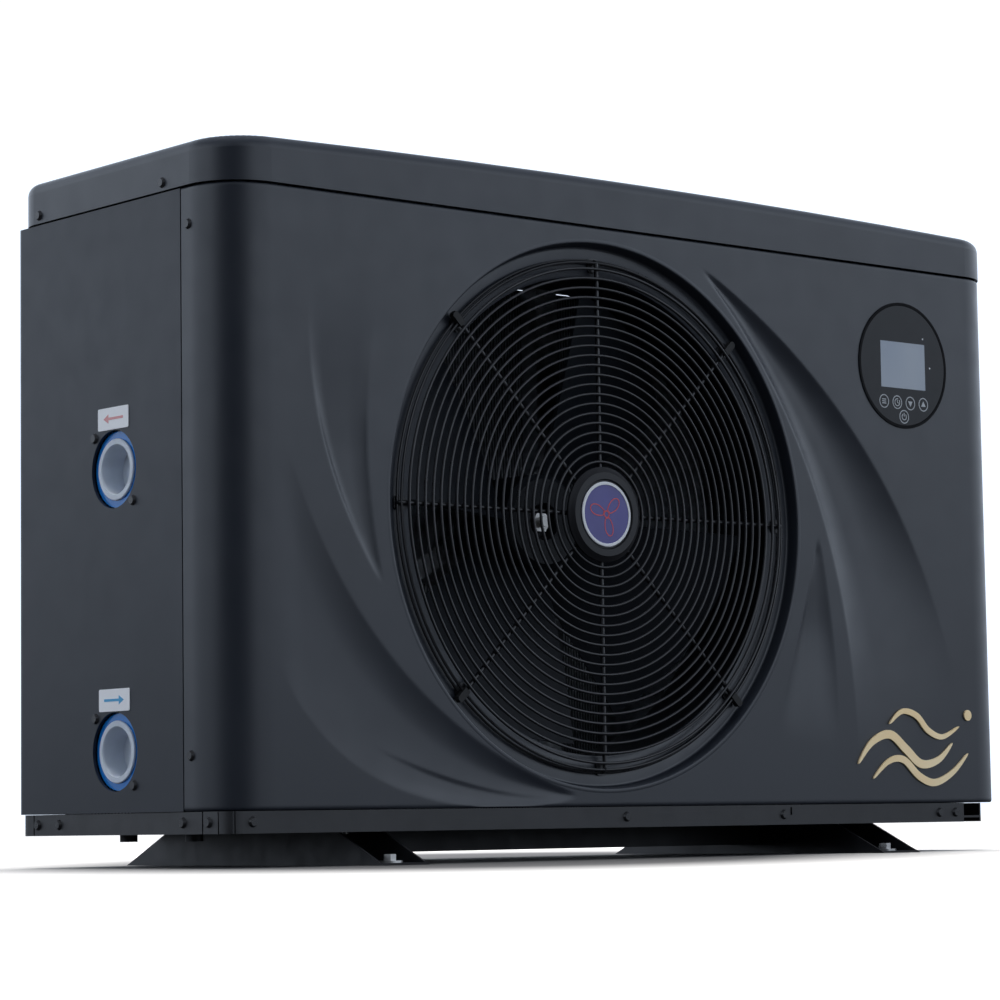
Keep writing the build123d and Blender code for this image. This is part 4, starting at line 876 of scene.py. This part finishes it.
def studio_world():
    """A white studio whose camera side is unlit, as behind a photographer."""
    world = bpy.data.worlds.new("studio")
    bpy.context.scene.world = world
    world.use_nodes = True
    tree = world.node_tree
    background = tree.nodes["Background"]
    direction = tree.nodes.new("ShaderNodeTexCoord").outputs["Generated"]
    facing = tree.nodes.new("ShaderNodeVectorMath")
    facing.operation = "DOT_PRODUCT"
    facing.inputs[1].default_value = BRIGHT_SIDE
    tree.links.new(direction, facing.inputs[0])
    level = ramp(tree, facing.outputs["Value"], (DARK_AT, BRIGHT_AT), (DARK_LEVEL, 1.0))
    height = tree.nodes.new("ShaderNodeSeparateXYZ")
    tree.links.new(direction, height.inputs[0])
    rise = ramp(tree, height.outputs["Z"], (-0.12, 0.20), (HORIZON_LEVEL, WALL_LEVEL))
    ceiling = ramp(tree, height.outputs["Z"], (0.28, 0.75), (1.0, CEILING_LEVEL))
    walls = tree.nodes.new("ShaderNodeMath")
    walls.operation = "MULTIPLY"
    tree.links.new(rise, walls.inputs[0])
    tree.links.new(ceiling, walls.inputs[1])
    product = tree.nodes.new("ShaderNodeMath")
    product.operation = "MULTIPLY"
    tree.links.new(level, product.inputs[0])
    tree.links.new(walls.outputs[0], product.inputs[1])
    seen = tree.nodes.new("ShaderNodeMix")
    path = tree.nodes.new("ShaderNodeLightPath")
    tree.links.new(path.outputs["Is Camera Ray"], seen.inputs["Factor"])
    tree.links.new(product.outputs[0], seen.inputs["A"])
    seen.inputs["B"].default_value = 1.3
    background.inputs["Color"].default_value = (0.83, 0.93, 1.08, 1.0)
    tree.links.new(seen.outputs["Result"], background.inputs["Strength"])


def ramp(tree, value, start_end, low_high):
    """A smooth change of level between two values."""
    node = tree.nodes.new("ShaderNodeMapRange")
    node.interpolation_type = "SMOOTHSTEP"
    node.inputs["From Min"].default_value, node.inputs["From Max"].default_value = start_end
    node.inputs["To Min"].default_value, node.inputs["To Max"].default_value = low_high
    tree.links.new(value, node.inputs["Value"])
    return node.outputs["Result"]


BRIGHT_SIDE = (0.72, 0.69, 0.0)
DARK_AT = -0.975
BRIGHT_AT = -0.66
DARK_LEVEL = 0.03
HORIZON_LEVEL = 0.42
WALL_LEVEL = 1.5
CEILING_LEVEL = 0.22
studio_world()
bpy.context.scene.view_settings.view_transform = "Standard"


def softbox(name, place, target, size, power, colour=(1, 1, 1)):
    lamp = bpy.data.lights.new(name, "AREA")
    lamp.shape = "RECTANGLE"
    lamp.size, lamp.size_y = size
    lamp.energy = power
    lamp.color = colour
    made = bpy.data.objects.new(name, lamp)
    made.location = place
    made.rotation_euler = (Vector(target) - Vector(place)).to_track_quat("-Z", "Y").to_euler()
    made.visible_glossy = False
    bpy.context.scene.collection.objects.link(made)


softbox("top_box", (0.2, 0.3, 2.4), (0, 0, 0.3), (2.2, 1.6), 60)

sun = bpy.data.lights.new("overhead", "SUN")
sun.energy = 2.4
sun.angle = radians(50)
overhead = bpy.data.objects.new("overhead", sun)
overhead.rotation_euler = (radians(-12), radians(4), 0)
overhead.visible_glossy = False
bpy.context.scene.collection.objects.link(overhead)

# the camera stands low, in front of the water-port corner
CAMERA_PLACE = Vector((-2064.8, -2376.7, 35.1)) * MM
CAMERA_YAW = radians(40.318)
CAMERA_PITCH = radians(5.442)
CAMERA_ROLL = radians(-0.848)
camera_data = bpy.data.cameras.new("camera")
camera_data.lens = 121.33
camera_data.sensor_width = 36
camera = bpy.data.objects.new("camera", camera_data)
bpy.context.scene.collection.objects.link(camera)
forward = Vector((sin(CAMERA_YAW) * cos(CAMERA_PITCH), cos(CAMERA_YAW) * cos(CAMERA_PITCH),
                  sin(CAMERA_PITCH)))
level = Vector((cos(CAMERA_YAW), -sin(CAMERA_YAW), 0))
upward = level.cross(forward)
right = cos(CAMERA_ROLL) * level + sin(CAMERA_ROLL) * upward
up = -sin(CAMERA_ROLL) * level + cos(CAMERA_ROLL) * upward
camera.matrix_world = Matrix((
    (right.x, up.x, -forward.x, CAMERA_PLACE.x),
    (right.y, up.y, -forward.y, CAMERA_PLACE.y),
    (right.z, up.z, -forward.z, CAMERA_PLACE.z),
    (0, 0, 0, 1),
))
camera_data.clip_end = 200
bpy.context.scene.camera = camera
